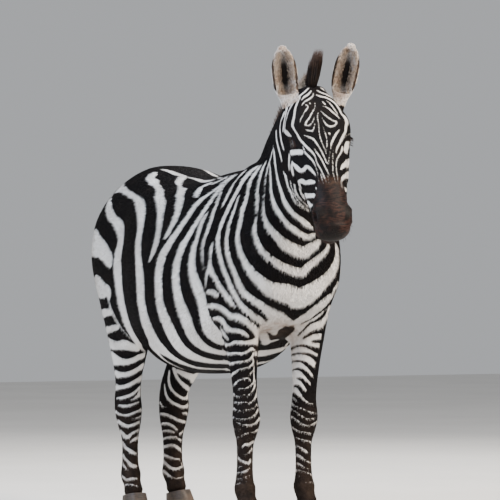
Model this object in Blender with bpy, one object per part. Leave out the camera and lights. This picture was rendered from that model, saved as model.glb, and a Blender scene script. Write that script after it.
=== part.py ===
"""A life-size plains zebra that stands with its head turned to its right, in metres, +Z up.

The animal faces -Y and its left side is +X. Its flesh is one smooth field made of swept limbs and
rounded muscles, whose zero surface is the skin. The surface is thinned to few faces and parted into
its named pieces by cuts as thin as the gap between them. Mane, forelock and tail tuft are built lock
by lock and stand on the piece that they grow from.
"""

import math
import random

import bmesh
import bpy
import numpy as np
from mathutils import Matrix, Vector

JOINT_GAP = 0.0003
SIDES = {"right": -1.0, "left": 1.0}

# Torso: place along Y, back line, belly line, half width.
TORSO = [
    (-0.22, 1.145, 0.800, 0.105),
    (-0.15, 1.208, 0.718, 0.148),
    (-0.07, 1.238, 0.672, 0.182),
    (0.02, 1.252, 0.632, 0.220),
    (0.12, 1.240, 0.575, 0.262),
    (0.24, 1.222, 0.532, 0.292),
    (0.36, 1.222, 0.520, 0.298),
    (0.48, 1.240, 0.535, 0.286),
    (0.60, 1.268, 0.595, 0.258),
    (0.72, 1.276, 0.690, 0.223),
    (0.83, 1.254, 0.790, 0.184),
    (0.91, 1.206, 0.880, 0.128),
]
TORSO_MIDDLE = 0.90
TORSO_CAPS = (0.05, 0.07)
TORSO_SQUARENESS = 2.6

# Neck: crest point and throat point in Y and Z, sideways shift, half width.
NECK = [
    ((0.080, 1.165), (-0.225, 0.850), 0.000, 0.150),
    ((-0.020, 1.228), (-0.268, 0.950), 0.000, 0.136),
    ((-0.100, 1.302), (-0.298, 1.060), -0.004, 0.114),
    ((-0.157, 1.388), (-0.330, 1.170), -0.010, 0.095),
    ((-0.238, 1.452), (-0.365, 1.262), -0.018, 0.082),
    ((-0.330, 1.488), (-0.398, 1.325), -0.024, 0.072),
]
NECK_BLEND = 0.09
# The flat joint between neck and head, from the crest to the throat, and between torso and neck.
HEAD_JOINT = ((-0.200, 1.430), (-0.335, 1.190))
NECK_JOINT = ((0.040, 1.300), (-0.330, 0.920))
NECK_CAPS = (0.06, 0.03)

# The head's own axes start at the poll: left, down the face, and out through the forehead.
POLL = Vector((-0.022, -0.425, 1.515))
FACE_PITCH = math.radians(27)
HEAD_TURN = math.radians(13)
HEAD_ROLL = math.radians(2)

# Head: place down the face, brow line, widest line, jaw line, half width.
HEAD = [
    (0.000, -0.002, -0.065, -0.140, 0.058),
    (0.050, 0.010, -0.058, -0.172, 0.089),
    (0.100, 0.019, -0.052, -0.204, 0.107),
    (0.160, 0.023, -0.052, -0.216, 0.102),
    (0.220, 0.022, -0.060, -0.200, 0.092),
    (0.280, 0.017, -0.070, -0.178, 0.083),
    (0.340, 0.010, -0.072, -0.156, 0.074),
    (0.400, 0.002, -0.070, -0.140, 0.064),
    (0.450, -0.006, -0.070, -0.128, 0.060),
    (0.500, -0.022, -0.072, -0.120, 0.060),
]
HEAD_CAPS = (0.026, 0.034)
EYE_RADIUS = 0.0225
EYE_AT = (0.0815, 0.184, -0.036)
LID_THICKNESS = 0.0050
EYE_SLANT = math.radians(28)
EYE_OPENING = (0.025, 0.0205, 0.0130)

# The line of the mouth, seen from a point between the jaws: how far round it runs to each side.
MOUTH_AT = (0.455, -0.104)
MOUTH_REACH = math.radians(84)
MOUTH_DIP = 0.012
MOUTH_WIDTH = 0.0045
MOUTH_DEPTH = 0.008

# Ears: foot and tip of the cup in the head's own axes, for each side.
EAR_FOOT = {"right": (-0.088, 0.006, -0.044), "left": (0.102, 0.006, -0.044)}
EAR_TIP = {"right": (-0.102, -0.146, 0.040), "left": (0.144, -0.146, 0.046)}
EAR_HALF_WIDTH = 0.044
EAR_WALL = 0.0065
EAR_JOINT = 0.022
EAR_JOINT_SLOPE = 0.5

# Fore leg: height, sideways, along Y, half width, half depth to the front and to the back.
FORE_LEG = [
    (0.840, 0.140, -0.100, 0.058, 0.120, 0.130),
    (0.740, 0.138, -0.100, 0.060, 0.090, 0.110),
    (0.660, 0.135, -0.105, 0.057, 0.066, 0.078),
    (0.580, 0.131, -0.110, 0.050, 0.053, 0.058),
    (0.500, 0.128, -0.114, 0.044, 0.045, 0.045),
    (0.440, 0.126, -0.116, 0.044, 0.045, 0.042),
    (0.380, 0.124, -0.118, 0.050, 0.050, 0.046),
    (0.335, 0.124, -0.116, 0.042, 0.043, 0.042),
    (0.290, 0.125, -0.114, 0.030, 0.033, 0.037),
    (0.220, 0.126, -0.114, 0.028, 0.031, 0.036),
    (0.170, 0.127, -0.114, 0.031, 0.034, 0.039),
    (0.138, 0.127, -0.116, 0.037, 0.041, 0.045),
    (0.108, 0.127, -0.126, 0.033, 0.038, 0.039),
    (0.085, 0.127, -0.136, 0.035, 0.039, 0.039),
]

# Hind leg, in the same columns.
HIND_LEG = [
    (1.010, 0.135, 0.745, 0.085, 0.140, 0.170),
    (0.900, 0.156, 0.745, 0.092, 0.150, 0.152),
    (0.790, 0.162, 0.735, 0.090, 0.142, 0.140),
    (0.690, 0.156, 0.738, 0.080, 0.108, 0.112),
    (0.600, 0.146, 0.762, 0.064, 0.084, 0.090),
    (0.520, 0.132, 0.794, 0.049, 0.064, 0.070),
    (0.450, 0.122, 0.816, 0.044, 0.057, 0.062),
    (0.385, 0.119, 0.824, 0.049, 0.064, 0.058),
    (0.330, 0.116, 0.822, 0.042, 0.057, 0.053),
    (0.270, 0.114, 0.818, 0.029, 0.043, 0.045),
    (0.190, 0.114, 0.816, 0.029, 0.039, 0.043),
    (0.142, 0.114, 0.811, 0.036, 0.044, 0.049),
    (0.110, 0.114, 0.800, 0.032, 0.039, 0.040),
    (0.085, 0.114, 0.790, 0.035, 0.039, 0.039),
]
HOCK = (0.121, 0.872, 0.424)
FORE_STRIDE = {"right": 0.0, "left": 0.036}
HIND_STRIDE = {"right": -0.006, "left": 0.095}
HIND_TURN = {"right": math.radians(4), "left": math.radians(24)}
STRIDE_TOP = 0.85
STRIDE_BOTTOM = 0.45

# Where a leg leaves the body: sideways, along Y, height, tilt and half depth of its flat joint.
LEG_JOINT = {
    "fore": (0.140, -0.095, 0.650, 0.30, 0.125),
    "hind": (0.150, 0.790, 0.680, -0.62, 0.200),
}

HOOF_HEIGHT = 0.078
HOOF_TOP = (0.040, 0.046, 0.042)
HOOF_SOLE = (0.050, 0.068, 0.046)
HOOF_HEEL_DROP = 0.020

# The dock of the tail: sideways, along Y, height, radius.
TAIL = [
    (0.000, 0.880, 1.180, 0.038),
    (0.000, 0.930, 1.178, 0.035),
    (0.001, 0.975, 1.158, 0.031),
    (0.003, 1.006, 1.108, 0.026),
    (0.006, 1.020, 1.030, 0.022),
    (0.009, 1.024, 0.940, 0.018),
    (0.012, 1.022, 0.850, 0.015),
    (0.013, 1.018, 0.760, 0.012),
]
DOCK_CUT = 0.986
TUFT_TOP = 0.860
TUFT_END = (0.016, 1.006, 0.440)

# Mane: share of the way from withers to poll, length of hair.
MANE_START = 0.10
MANE_END = 0.965
MANE = [(0.10, 0.014), (0.22, 0.040), (0.45, 0.062), (0.78, 0.066), (1.00, 0.062)]
MANE_HALF_WIDTH = 0.016
FORELOCK_JOINT = 0.94
FORELOCK_HEIGHT = 0.128
FORELOCK_HALF_WIDTH = 0.022
FORELOCK_LEAN = (0.022, -0.012)
HAIR_MARGIN = 0.02

# Locks of hair: width along their length, how many there are, and the width and thickness of one.
LOCK_SHAPE = [(0.0, 0.75), (0.35, 1.0), (0.70, 0.78), (0.90, 0.42)]
MANE_LOCKS = 22
MANE_LOCK = (0.040, 0.012)
FORELOCK_LOCKS = 11
FORELOCK_LOCK = (0.021, 0.010)
TUFT_LOCKS = 20
TUFT_LOCK = (0.026, 0.012)

BODY_CELL = 0.0075
HEAD_CELL = 0.0036
BODY_FACES = 4900
HEAD_FACES = 3200


def smooth_through(places, values):
    """A smooth function through these values, level beyond both ends."""
    at = np.array(places, float)
    value = np.array(values, float)
    slope = np.gradient(value, at)

    def read(t):
        t = np.clip(t, at[0], at[-1])
        i = np.clip(np.searchsorted(at, t, side="right") - 1, 0, len(at) - 2)
        width = at[i + 1] - at[i]
        u = (t - at[i]) / width
        v = 1 - u
        rise = width * u * v * (slope[i] * v - slope[i + 1] * u)
        return value[i] * (1 + 2 * u) * v * v + value[i + 1] * (1 + 2 * v) * u * u + rise

    return read


def radial_distance(parts, radii, squareness=2.0):
    """About how far a point is from a rounded solid with these half sizes, below 0 inside."""
    reach = np.sqrt(sum(p * p for p in parts)) + 1e-9
    share = sum(np.abs(p / r) ** squareness for p, r in zip(parts, radii)) ** (1 / squareness)
    return reach - reach / np.maximum(share, 1e-6)


def sweep(rows, side, caps, squareness=2.0, steps=4):
    """A limb along a smooth axis. Each row is its centre, a vector towards its front, its half width
    and its half depths to the front and to the back. side is about the way its width runs."""
    rows = np.array(rows, float)
    at = np.arange(len(rows))
    fine = np.linspace(0, len(rows) - 1, (len(rows) - 1) * steps + 1)
    rows = np.stack([smooth_through(at, column)(fine) for column in rows.T], axis=1)
    along = np.gradient(rows[:, :3], axis=0)
    rows = np.hstack([rows, along / np.linalg.norm(along, axis=1)[:, None]])
    start = rows[:-1]
    step = np.diff(rows, axis=0)
    margin = rows[:, 6:9].max() + max(caps)
    side = np.array(side, float)

    def field(p):
        away = np.full(len(p), np.inf)
        which = np.zeros(len(p), int)
        share = np.zeros(len(p))
        for i, (row, run) in enumerate(zip(start, step)):
            axis = run[:3]
            t = np.clip((p - row[:3]) @ axis / (axis @ axis), 0, 1)
            gap = ((p - row[:3] - t[:, None] * axis) ** 2).sum(1)
            near = gap < away
            away[near] = gap[near]
            which[near] = i
            share[near] = t[near]
        here = start[which] + share[:, None] * step[which]
        tangent = here[:, 9:] / np.linalg.norm(here[:, 9:], axis=1)[:, None]
        front = here[:, 3:6] - (here[:, 3:6] * tangent).sum(1)[:, None] * tangent
        front /= np.linalg.norm(front, axis=1)[:, None]
        across = np.cross(tangent, front)
        across *= np.sign(across @ side)[:, None]
        r = p - here[:, :3]
        u = (r * front).sum(1)
        v = (r * across).sum(1)
        at_start = (which == 0) & (share == 0)
        at_end = (which == len(start) - 1) & (share == 1)
        w = np.where(at_start | at_end, (r * tangent).sum(1), 0)
        depth = np.where(u > 0, here[:, 7], here[:, 8])
        past = np.where(at_start, caps[0], caps[1])
        return radial_distance((v, u, w), (here[:, 6], depth, past), squareness)

    return field, rows[:, :3].min(0) - margin, rows[:, :3].max(0) + margin


def ball(centre, radii, turn=None):
    """An ellipsoid. The columns of turn are the ways that its three radii run."""
    centre = np.array(centre, float)
    radii = np.array(radii, float)
    matrix = np.eye(3) if turn is None else np.array(turn, float)
    reach = radii.max()

    def field(p):
        return radial_distance(((p - centre) @ matrix).T, radii)

    return field, centre - reach, centre + reach


def blended(a, b, k):
    """The smaller of two fields, rounded over a width of k where they meet."""
    near = np.maximum(k - np.abs(a - b), 0) / k
    return np.minimum(a, b) - near * near * k / 4


def flesh(parts):
    """One field from a list of (kind, solid, blend). A solid is read only in its own box and a blend
    around it, as it changes nothing further out."""

    def field(p):
        made = np.full(len(p), 0.2)
        for kind, (part, low, high), k in parts:
            inside = ((p > low - k) & (p < high + k)).all(1)
            if not inside.any():
                continue
            value = part(p[inside])
            if kind == "add":
                made[inside] = blended(made[inside], value, k)
            else:
                made[inside] = -blended(-made[inside], value, k)
        return made

    return field


def head_axes():
    """The head's left, down the face, and out through the forehead, as columns in world axes."""
    face = Matrix.Rotation(-FACE_PITCH, 3, "X")
    turn = Matrix.Rotation(-HEAD_TURN, 3, "Z")
    out = turn @ face @ Vector((0, -1, 0))
    roll = Matrix.Rotation(HEAD_ROLL, 3, turn @ Vector((0, -1, 0)))
    left = roll @ turn @ Vector((1, 0, 0))
    out = roll @ out
    return Matrix((left, left.cross(out), out)).transposed()


HEAD_AXES = head_axes()


def on_head(x, y, z):
    return POLL + HEAD_AXES @ Vector((x, y, z))


def head_ball(centre, radii):
    return ball(on_head(*centre), radii, HEAD_AXES)


def torso():
    z = TORSO_MIDDLE
    rows = [(0, y, z, 0, 0, 1, width, back - z, z - belly) for y, back, belly, width in TORSO]
    return sweep(rows, (1, 0, 0), TORSO_CAPS, TORSO_SQUARENESS)


def neck():
    rows = []
    for crest, throat, shift, width in NECK:
        top = Vector((shift, *crest))
        low = Vector((shift, *throat))
        middle = low.lerp(top, 0.45)
        up = (top - low).normalized()
        rows.append((*middle, *up, width, (top - middle).length, (middle - low).length))
    return sweep(rows, (1, 0, 0), NECK_CAPS, 2.1, steps=8)


def head_core():
    rows = []
    for y, brow, wide, jaw, width in HEAD:
        rows.append((*on_head(0, y, wide), *HEAD_AXES.col[2], width, brow - wide, wide - jaw))
    return sweep(rows, HEAD_AXES.col[0], HEAD_CAPS, 2.3)


class Leg:
    """One leg: where its table of sizes stands, how far its foot is set back and turned out."""

    def __init__(self, kind, name):
        self.side = SIDES[name]
        self.table = FORE_LEG if kind == "fore" else HIND_LEG
        self.stride = (FORE_STRIDE if kind == "fore" else HIND_STRIDE)[name]
        self.turn = HIND_TURN[name] if kind == "hind" else 0.0
        self.name = f"{kind}_{name}"

    def share(self, z):
        """0 at the body, 1 from the hock or knee down."""
        return min(1.0, max(0.0, (STRIDE_TOP - z) / (STRIDE_TOP - STRIDE_BOTTOM)))

    def front(self, z):
        angle = self.turn * self.share(z)
        return Vector((self.side * math.sin(angle), -math.cos(angle), 0))

    def place(self, x, y, z, back=0.0):
        spot = Vector((self.side * x, y + self.stride * self.share(z), z))
        return spot - back * self.front(z)

    def limb(self):
        rows = []
        for z, x, y, width, front, back in self.table:
            rows.append((*self.place(x, y, z), *self.front(z), width, front, back))
        return sweep(rows, (1, 0, 0), (0.09, 0.03), 2.2)

    def hoof(self):
        """A cone cut off at the floor, wider at the toe than at the heel."""
        x, y = self.table[-1][1:3]
        drop = 0.03
        sole = [low + (low - top) / HOOF_HEIGHT * drop for low, top in zip(HOOF_SOLE, HOOF_TOP)]
        rows = [
            (*self.place(x, y, HOOF_HEIGHT, -0.006), *self.front(0), *HOOF_TOP),
            (*self.place(x, y, -drop, -0.020), *self.front(0), *sole),
        ]
        return sweep(rows, (1, 0, 0), (0.016, 0.02), 2.4)


def legs():
    return [Leg(kind, name) for kind in ("fore", "hind") for name in SIDES]


def muscles(side):
    """Bulges of one side's shoulder, breast, elbow, haunch and stifle."""
    return [
        ("add", ball((side * 0.108, -0.130, 1.020), (0.070, 0.100, 0.220)), 0.09),
        ("add", ball((side * 0.096, -0.208, 0.925), (0.068, 0.074, 0.125)), 0.12),
        ("add", ball((side * 0.045, -0.160, 0.835), (0.060, 0.085, 0.100)), 0.10),
        ("add", ball((side * 0.135, -0.030, 0.850), (0.066, 0.110, 0.120)), 0.08),
        ("add", ball((side * 0.140, 0.755, 0.990), (0.103, 0.172, 0.190)), 0.10),
        ("add", ball((side * 0.100, 0.858, 0.950), (0.096, 0.108, 0.210)), 0.09),
        ("add", ball((side * 0.165, 0.650, 0.745), (0.052, 0.075, 0.105)), 0.08),
    ]


def hock(leg):
    """The heel bone that stands out behind the hock."""
    spot = leg.place(HOCK[0], HOCK[1], HOCK[2])
    return ("add", ball(spot, (0.022, 0.030, 0.042)), 0.03)


def face(side):
    """One side of the head: brow, cheek, facial ridge, temple, lids, nostril and lips."""
    eye = Vector((side * EYE_AT[0], EYE_AT[1], EYE_AT[2]))
    lid = EYE_RADIUS + LID_THICKNESS
    ridge = []
    for x, y, z, half in [
        (0.092, 0.205, -0.064, 0.012),
        (0.086, 0.255, -0.078, 0.011),
        (0.076, 0.310, -0.086, 0.010),
    ]:
        ridge.append((*on_head(side * x, y, z), *HEAD_AXES.col[2], half, half, half))
    return [
        ("add", head_ball((side * 0.072, 0.140, -0.028), (0.034, 0.054, 0.030)), 0.03),
        ("add", head_ball((side * 0.052, 0.150, -0.140), (0.036, 0.085, 0.080)), 0.03),
        ("add", sweep(ridge, HEAD_AXES.col[0], (0.01, 0.01)), 0.03),
        ("add", head_ball(eye, (lid, lid, lid)), 0.010),
        ("add", head_ball((side * 0.049, 0.464, -0.042), (0.024, 0.036, 0.024)), 0.02),
        ("carve", head_ball((side * 0.067, 0.470, -0.038), (0.018, 0.018, 0.011)), 0.005),
    ]


def lips():
    return [
        ("add", head_ball((0, 0.503, -0.076), (0.050, 0.034, 0.038)), 0.02),
        ("add", head_ball((0, 0.482, -0.128), (0.036, 0.046, 0.024)), 0.015),
    ]


def mouth_slit(skin):
    """The solid to cut away for the line of the mouth: it runs from corner to corner around the lips and
    dips at the corners."""
    rings = []
    for angle in np.linspace(-MOUTH_REACH, MOUTH_REACH, 21):
        way = HEAD_AXES @ Vector((math.sin(angle), math.cos(angle), 0))
        dip = MOUTH_DIP * (1 - math.cos(angle))
        centre = on_head(0, MOUTH_AT[0], MOUTH_AT[1] - dip)
        edge = (skin_point(skin, centre, way) - centre).length
        out = HEAD_AXES.col[2]
        ring = [(edge - MOUTH_DEPTH, -0.3), (edge + 0.01, -1), (edge + 0.01, 1), (edge - MOUTH_DEPTH, 0.3)]
        rings.append([centre + way * reach + out * MOUTH_WIDTH / 2 * rise for reach, rise in ring])
    return loft("mouth", rings)


def ear(side_name):
    """A cup of hair and skin: a swept leaf shape with its front hollowed out."""
    foot = on_head(*EAR_FOOT[side_name])
    tip = on_head(*EAR_TIP[side_name])
    axis = tip - foot
    length = axis.length
    axis.normalize()
    opening = HEAD_AXES @ Vector((0, 0, 1)) + Vector((-0.30, -0.10, 0))
    opening = (opening - opening.dot(axis) * axis).normalized()
    across = axis.cross(opening)
    shape = [
        (-0.28, 0.44),
        (-0.05, 0.58),
        (0.12, 0.84),
        (0.32, 0.98),
        (0.52, 1.00),
        (0.70, 0.90),
        (0.86, 0.66),
        (0.96, 0.36),
    ]
    outer = []
    inner = []
    for share, width in shape:
        centre = foot + axis * (share * length)
        half = EAR_HALF_WIDTH * width
        depth = 0.016 + 0.020 * width * (1 - share)
        outer.append((*(centre - opening * 0.004), *opening, half, depth * 0.55, depth))
        if 0.0 <= share < 0.9:
            hollow = half - EAR_WALL
            inner.append((*(centre + opening * 0.012), *opening, hollow, 0.05, max(depth, 0.01)))
    return [
        ("add", sweep(outer, across, (0.03, 0.012)), 0.02),
        ("carve", sweep(inner, across, (0.012, 0.010)), 0.003),
    ]


def tail():
    rows = [(x, y, z, 0, 1, 0.3, r, r, r) for x, y, z, r in TAIL]
    return sweep(rows, (1, 0, 0), (0.03, 0.008))


def body_parts():
    parts = [("add", torso(), 0.02), ("add", neck(), NECK_BLEND)]
    parts += [("add", leg.limb(), 0.06) for leg in legs()]
    for side in SIDES.values():
        parts += muscles(side)
    parts += [hock(leg) for leg in legs() if leg.table is HIND_LEG]
    parts += [("add", leg.hoof(), 0.006) for leg in legs()]
    parts.append(("add", tail(), 0.02))
    return parts


def head_parts():
    parts = [("add", head_core(), 0.06)] + lips()
    for name, side in SIDES.items():
        parts += face(side) + ear(name)
    return parts


def settle_corners(values):
    """Turns the weakest corner of each square of the grid whose corners alternate between inside and
    outside, as two sheets of skin would share an edge there."""
    for _ in range(3):
        for p, q in ((0, 1), (0, 2), (1, 2)):
            ways = np.eye(3, dtype=int)[[p, q]]
            ring = [(0, 0), (1, 0), (1, 1), (0, 1)]
            corners = []
            for i, j in ring:
                part = [slice(None)] * 3
                part[p] = slice(i, values.shape[p] - 1 + i)
                part[q] = slice(j, values.shape[q] - 1 + j)
                corners.append(values[tuple(part)] < 0)
            a, b, c, d = corners
            for spot in np.argwhere((a == c) & (b == d) & (a != b)):
                square = [tuple(spot + i * ways[0] + j * ways[1]) for i, j in ring]
                weakest = min(square, key=lambda s: abs(values[s]))
                values[weakest] = -values[weakest]


def cell_surface(field, low, high, cell):
    """Points and four-sided faces of the field's zero surface inside a box. Only cells near the
    surface are read finely."""
    block = 4
    low = np.array(low, float)
    blocks = np.ceil((np.array(high) - low) / (cell * block)).astype(int)
    centres = np.stack(np.meshgrid(*[np.arange(n) for n in blocks], indexing="ij"), -1).reshape(-1, 3)
    coarse = field(low + (centres + 0.5) * cell * block)
    count = blocks * block + 1
    values = np.ones(count)
    sign = np.where(coarse < 0, -1.0, 1.0).reshape(blocks)
    values[:-1, :-1, :-1] = sign.repeat(block, 0).repeat(block, 1).repeat(block, 2)
    wanted = np.zeros(count, bool)
    steps = np.arange(block + 1)
    for i, j, k in centres[np.abs(coarse) < cell * block * 1.3]:
        at = np.ix_(i * block + steps, j * block + steps, k * block + steps)
        wanted[at] = True
    index = np.argwhere(wanted)
    values[wanted] = field(low + index * cell)
    settle_corners(values)

    corners = np.stack(np.meshgrid([0, 1], [0, 1], [0, 1], indexing="ij"), -1).reshape(-1, 3)
    shape = count - 1
    inside = sum(
        (values[a : a + shape[0], b : b + shape[1], c : c + shape[2]] < 0).astype(int) for a, b, c in corners
    )
    crossed = np.argwhere((inside > 0) & (inside < 8))
    number = np.full(shape, -1)
    number[tuple(crossed.T)] = np.arange(len(crossed))
    total = np.zeros((len(crossed), 3))
    hits = np.zeros(len(crossed))
    for axis in range(3):
        ahead = np.eye(3, dtype=int)[axis]
        for corner in corners[corners[:, axis] == 0]:
            first = crossed + corner
            a = values[tuple(first.T)]
            b = values[tuple((first + ahead).T)]
            cut = (a < 0) != (b < 0)
            share = np.where(cut, a / np.where(cut, a - b, 1), 0)
            total += np.where(cut[:, None], corner + share[:, None] * ahead, 0)
            hits += cut
    points = low + (crossed + total / hits[:, None]) * cell

    faces = []
    for axis in range(3):
        ahead = np.eye(3, dtype=int)[axis]
        b_way, c_way = np.eye(3, dtype=int)[[(axis + 1) % 3, (axis + 2) % 3]]
        a = values[: count[0] - ahead[0], : count[1] - ahead[1], : count[2] - ahead[2]]
        b = values[ahead[0] :, ahead[1] :, ahead[2] :]
        edge = np.argwhere((a < 0) != (b < 0))
        edge = edge[((edge - b_way - c_way >= 0) & (edge < shape)).all(1)]
        ring = [number[tuple((edge - s * b_way - t * c_way).T)] for s, t in [(0, 0), (1, 0), (1, 1), (0, 1)]]
        ring = np.stack(ring, 1)
        outward = values[tuple(edge.T)] < 0
        ring[~outward] = ring[~outward][:, ::-1]
        faces.append(ring)
    return points, np.concatenate(faces)


def on_surface(field, points, rounds=2):
    """Points moved on to the field's zero surface."""
    step = 0.0008
    for _ in range(rounds):
        value = field(points)
        slope = np.stack([field(points + step * way) - value for way in np.eye(3)], 1) / step
        size = (slope**2).sum(1)
        points = points - np.clip(value / np.maximum(size, 0.25), -0.004, 0.004)[:, None] * slope
    return points


def mesh_object(name, points, faces):
    mesh = bpy.data.meshes.new(name)
    mesh.from_pydata([tuple(p) for p in points], [], [tuple(int(i) for i in f) for f in faces])
    mesh.validate()
    piece = bpy.data.objects.new(name, mesh)
    bpy.context.collection.objects.link(piece)
    return piece


def bmesh_object(name, bm):
    mesh = bpy.data.meshes.new(name)
    bm.to_mesh(mesh)
    bm.free()
    piece = bpy.data.objects.new(name, mesh)
    bpy.context.collection.objects.link(piece)
    return piece


def face_out(bm):
    """Turns the faces of a closed mesh outwards."""
    bmesh.ops.recalc_face_normals(bm, faces=bm.faces)
    if bm.calc_volume(signed=True) < 0:
        bmesh.ops.reverse_faces(bm, faces=bm.faces)


def delete(piece):
    bpy.data.objects.remove(piece, do_unlink=True)


def apply_modifiers(piece):
    """The piece's mesh as its modifiers shape it, which are then done with."""
    shaped = piece.evaluated_get(bpy.context.evaluated_depsgraph_get())
    mesh = bpy.data.meshes.new_from_object(shaped)
    piece.modifiers.clear()
    piece.data = mesh


def thin_out(piece, faces):
    """Fewer triangles, where the form is plain."""
    decimate = piece.modifiers.new("fewer faces", "DECIMATE")
    decimate.ratio = faces / (2 * len(piece.data.polygons))
    decimate.use_collapse_triangulate = True
    apply_modifiers(piece)


def combine(piece, other, operation, solver="EXACT"):
    """A Boolean with another object or with a collection of them."""
    boolean = piece.modifiers.new("boolean", "BOOLEAN")
    boolean.operation = operation
    boolean.solver = solver
    if isinstance(other, bpy.types.Collection):
        boolean.operand_type = "COLLECTION"
        boolean.collection = other
    else:
        boolean.object = other
    apply_modifiers(piece)


def cut_flat(piece, point, normal):
    """Keeps what lies behind a plane and closes the cut."""
    bm = bmesh.new()
    bm.from_mesh(piece.data)
    cut = bmesh.ops.bisect_plane(
        bm,
        geom=bm.verts[:] + bm.edges[:] + bm.faces[:],
        dist=1e-6,
        plane_co=point,
        plane_no=normal,
        clear_outer=True,
    )
    rim = [e for e in cut["geom_cut"] if isinstance(e, bmesh.types.BMEdge)]
    bmesh.ops.triangle_fill(bm, use_beauty=True, use_dissolve=False, edges=rim, normal=normal)
    bmesh.ops.recalc_face_normals(bm, faces=bm.faces)
    bm.to_mesh(piece.data)
    bm.free()


def plate(point, normal, half_sizes, side=(1, 0, 0)):
    """A sheet as thick as the gap between two nodes."""
    normal = Vector(normal).normalized()
    across = Vector(side) - Vector(side).dot(normal) * normal
    across.normalize()
    frame = Matrix((across, normal.cross(across), normal)).transposed().to_4x4()
    frame.translation = point
    size = Matrix.Diagonal((2 * half_sizes[0], 2 * half_sizes[1], JOINT_GAP, 1))
    bm = bmesh.new()
    bmesh.ops.create_cube(bm, size=1.0, matrix=frame @ size)
    return bmesh_object("plate", bm)


def islands(piece):
    """The closed surfaces that a mesh holds, as lists of face numbers. Surfaces that only touch along
    an edge count as two."""
    faces = piece.data.polygons
    parent = list(range(len(faces)))

    def root(i):
        while parent[i] != i:
            parent[i] = parent[parent[i]]
            i = parent[i]
        return i

    beside = {}
    for face in faces:
        for edge in face.edge_keys:
            beside.setdefault(edge, []).append(face.index)
    for pair in beside.values():
        if len(pair) == 2:
            parent[root(pair[0])] = root(pair[1])
    groups = {}
    for face in faces:
        groups.setdefault(root(face.index), []).append(face.index)
    return list(groups.values())


def take_faces(name, piece, faces):
    """A new object with only these faces of a piece."""
    mesh = piece.data
    used = sorted({v for f in faces for v in mesh.polygons[f].vertices})
    number = {v: i for i, v in enumerate(used)}
    points = [mesh.vertices[v].co for v in used]
    return mesh_object(name, points, [[number[v] for v in mesh.polygons[f].vertices] for f in faces])


def largest_island(piece):
    """The piece with only its largest closed surface."""
    biggest = take_faces(piece.name, piece, max(islands(piece), key=len))
    piece.data = biggest.data
    delete(biggest)


def part_at_joints(piece, plates, spots):
    """Cuts a piece with thin plates and names what falls apart by the spot that each lies nearest."""
    group = bpy.data.collections.new("plates")
    for sheet in plates:
        group.objects.link(sheet)
    combine(piece, group, "DIFFERENCE")
    for sheet in plates:
        delete(sheet)
    bpy.data.collections.remove(group)
    found = {}
    for faces in islands(piece):
        corners = {v for f in faces for v in piece.data.polygons[f].vertices}
        low = Vector([min(piece.data.vertices[v].co[i] for v in corners) for i in range(3)])
        high = Vector([max(piece.data.vertices[v].co[i] for v in corners) for i in range(3)])
        middle = (low + high) / 2
        name = min(spots, key=lambda n: (Vector(spots[n]) - middle).length)
        if len(faces) > len(found.get(name, [])):
            found[name] = faces
    parts = {name: take_faces(name, piece, faces) for name, faces in found.items()}
    delete(piece)
    return parts


def slanted(joint, normal_y):
    """The middle of a joint given by its two ends in Y and Z, and its normal."""
    top = Vector((0, *joint[0]))
    low = Vector((0, *joint[1]))
    normal = Vector((1, 0, 0)).cross(top - low).normalized()
    if normal.y * normal_y < 0:
        normal.negate()
    return (top + low) / 2, normal


def beyond(field, point, normal, reach):
    """A field cut off by a plane, a little past a joint."""
    point = np.array(point)
    normal = np.array(normal)

    def cut(p):
        return np.maximum(field(p), (p - point) @ normal - reach)

    return cut


def flesh_mesh(name, field, low, high, cell, faces):
    points, quads = cell_surface(field, low, high, cell)
    piece = mesh_object(name, on_surface(field, points), quads)
    largest_island(piece)
    thin_out(piece, faces)
    return piece


def body_nodes(whole):
    """Neck, torso, tail, legs and hooves, parted from one mesh."""
    point, normal = slanted(HEAD_JOINT, -1)
    low = (-0.36, -0.60, -0.06)
    high = (0.36, 1.20, 1.60)
    body = flesh_mesh("body", beyond(whole, point, normal, 0.03), low, high, BODY_CELL, BODY_FACES)
    cut_flat(body, point - normal * JOINT_GAP / 2, normal)
    cut_flat(body, Vector((0, 0, 0)), Vector((0, 0, -1)))
    plates = [
        plate(*slanted(NECK_JOINT, -1), (0.30, 0.36)),
        plate((0, DOCK_CUT, 1.120), (0, 1, 0), (0.06, 0.075)),
        plate((0, TAIL[5][1], TUFT_TOP), (0, 0, 1), (0.05, 0.05)),
    ]
    spots = {
        "torso": (0, 0.35, 0.93),
        "neck": (-0.01, -0.20, 1.22),
        "tail": (0, 1.02, 1.00),
        "tail_tuft": (0, 1.02, 0.80),
    }
    for leg in legs():
        x, y, z, tilt, reach = LEG_JOINT["hind" if leg.table is HIND_LEG else "fore"]
        plates.append(plate(leg.place(x, y, z), (0, tilt, 1), (0.130, reach)))
        x, y = leg.table[-1][1:3]
        lean = HOOF_HEEL_DROP / (HOOF_TOP[1] + HOOF_TOP[2])
        normal = Vector((0, 0, 1)) - lean * leg.front(0)
        plates.append(plate(leg.place(x, y, HOOF_HEIGHT - 0.012), normal, (0.060, 0.075)))
        spots[f"leg_{leg.name}"] = leg.place(x, y, 0.38)
        spots[f"hoof_{leg.name}"] = leg.place(x, y, 0.035)
    return part_at_joints(body, plates, spots)


def eyeball(name, side, radius):
    bm = bmesh.new()
    bmesh.ops.create_icosphere(bm, subdivisions=3, radius=radius)
    bmesh.ops.translate(bm, verts=bm.verts, vec=on_head(side * EYE_AT[0], EYE_AT[1], EYE_AT[2]))
    return bmesh_object(name, bm)


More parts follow.
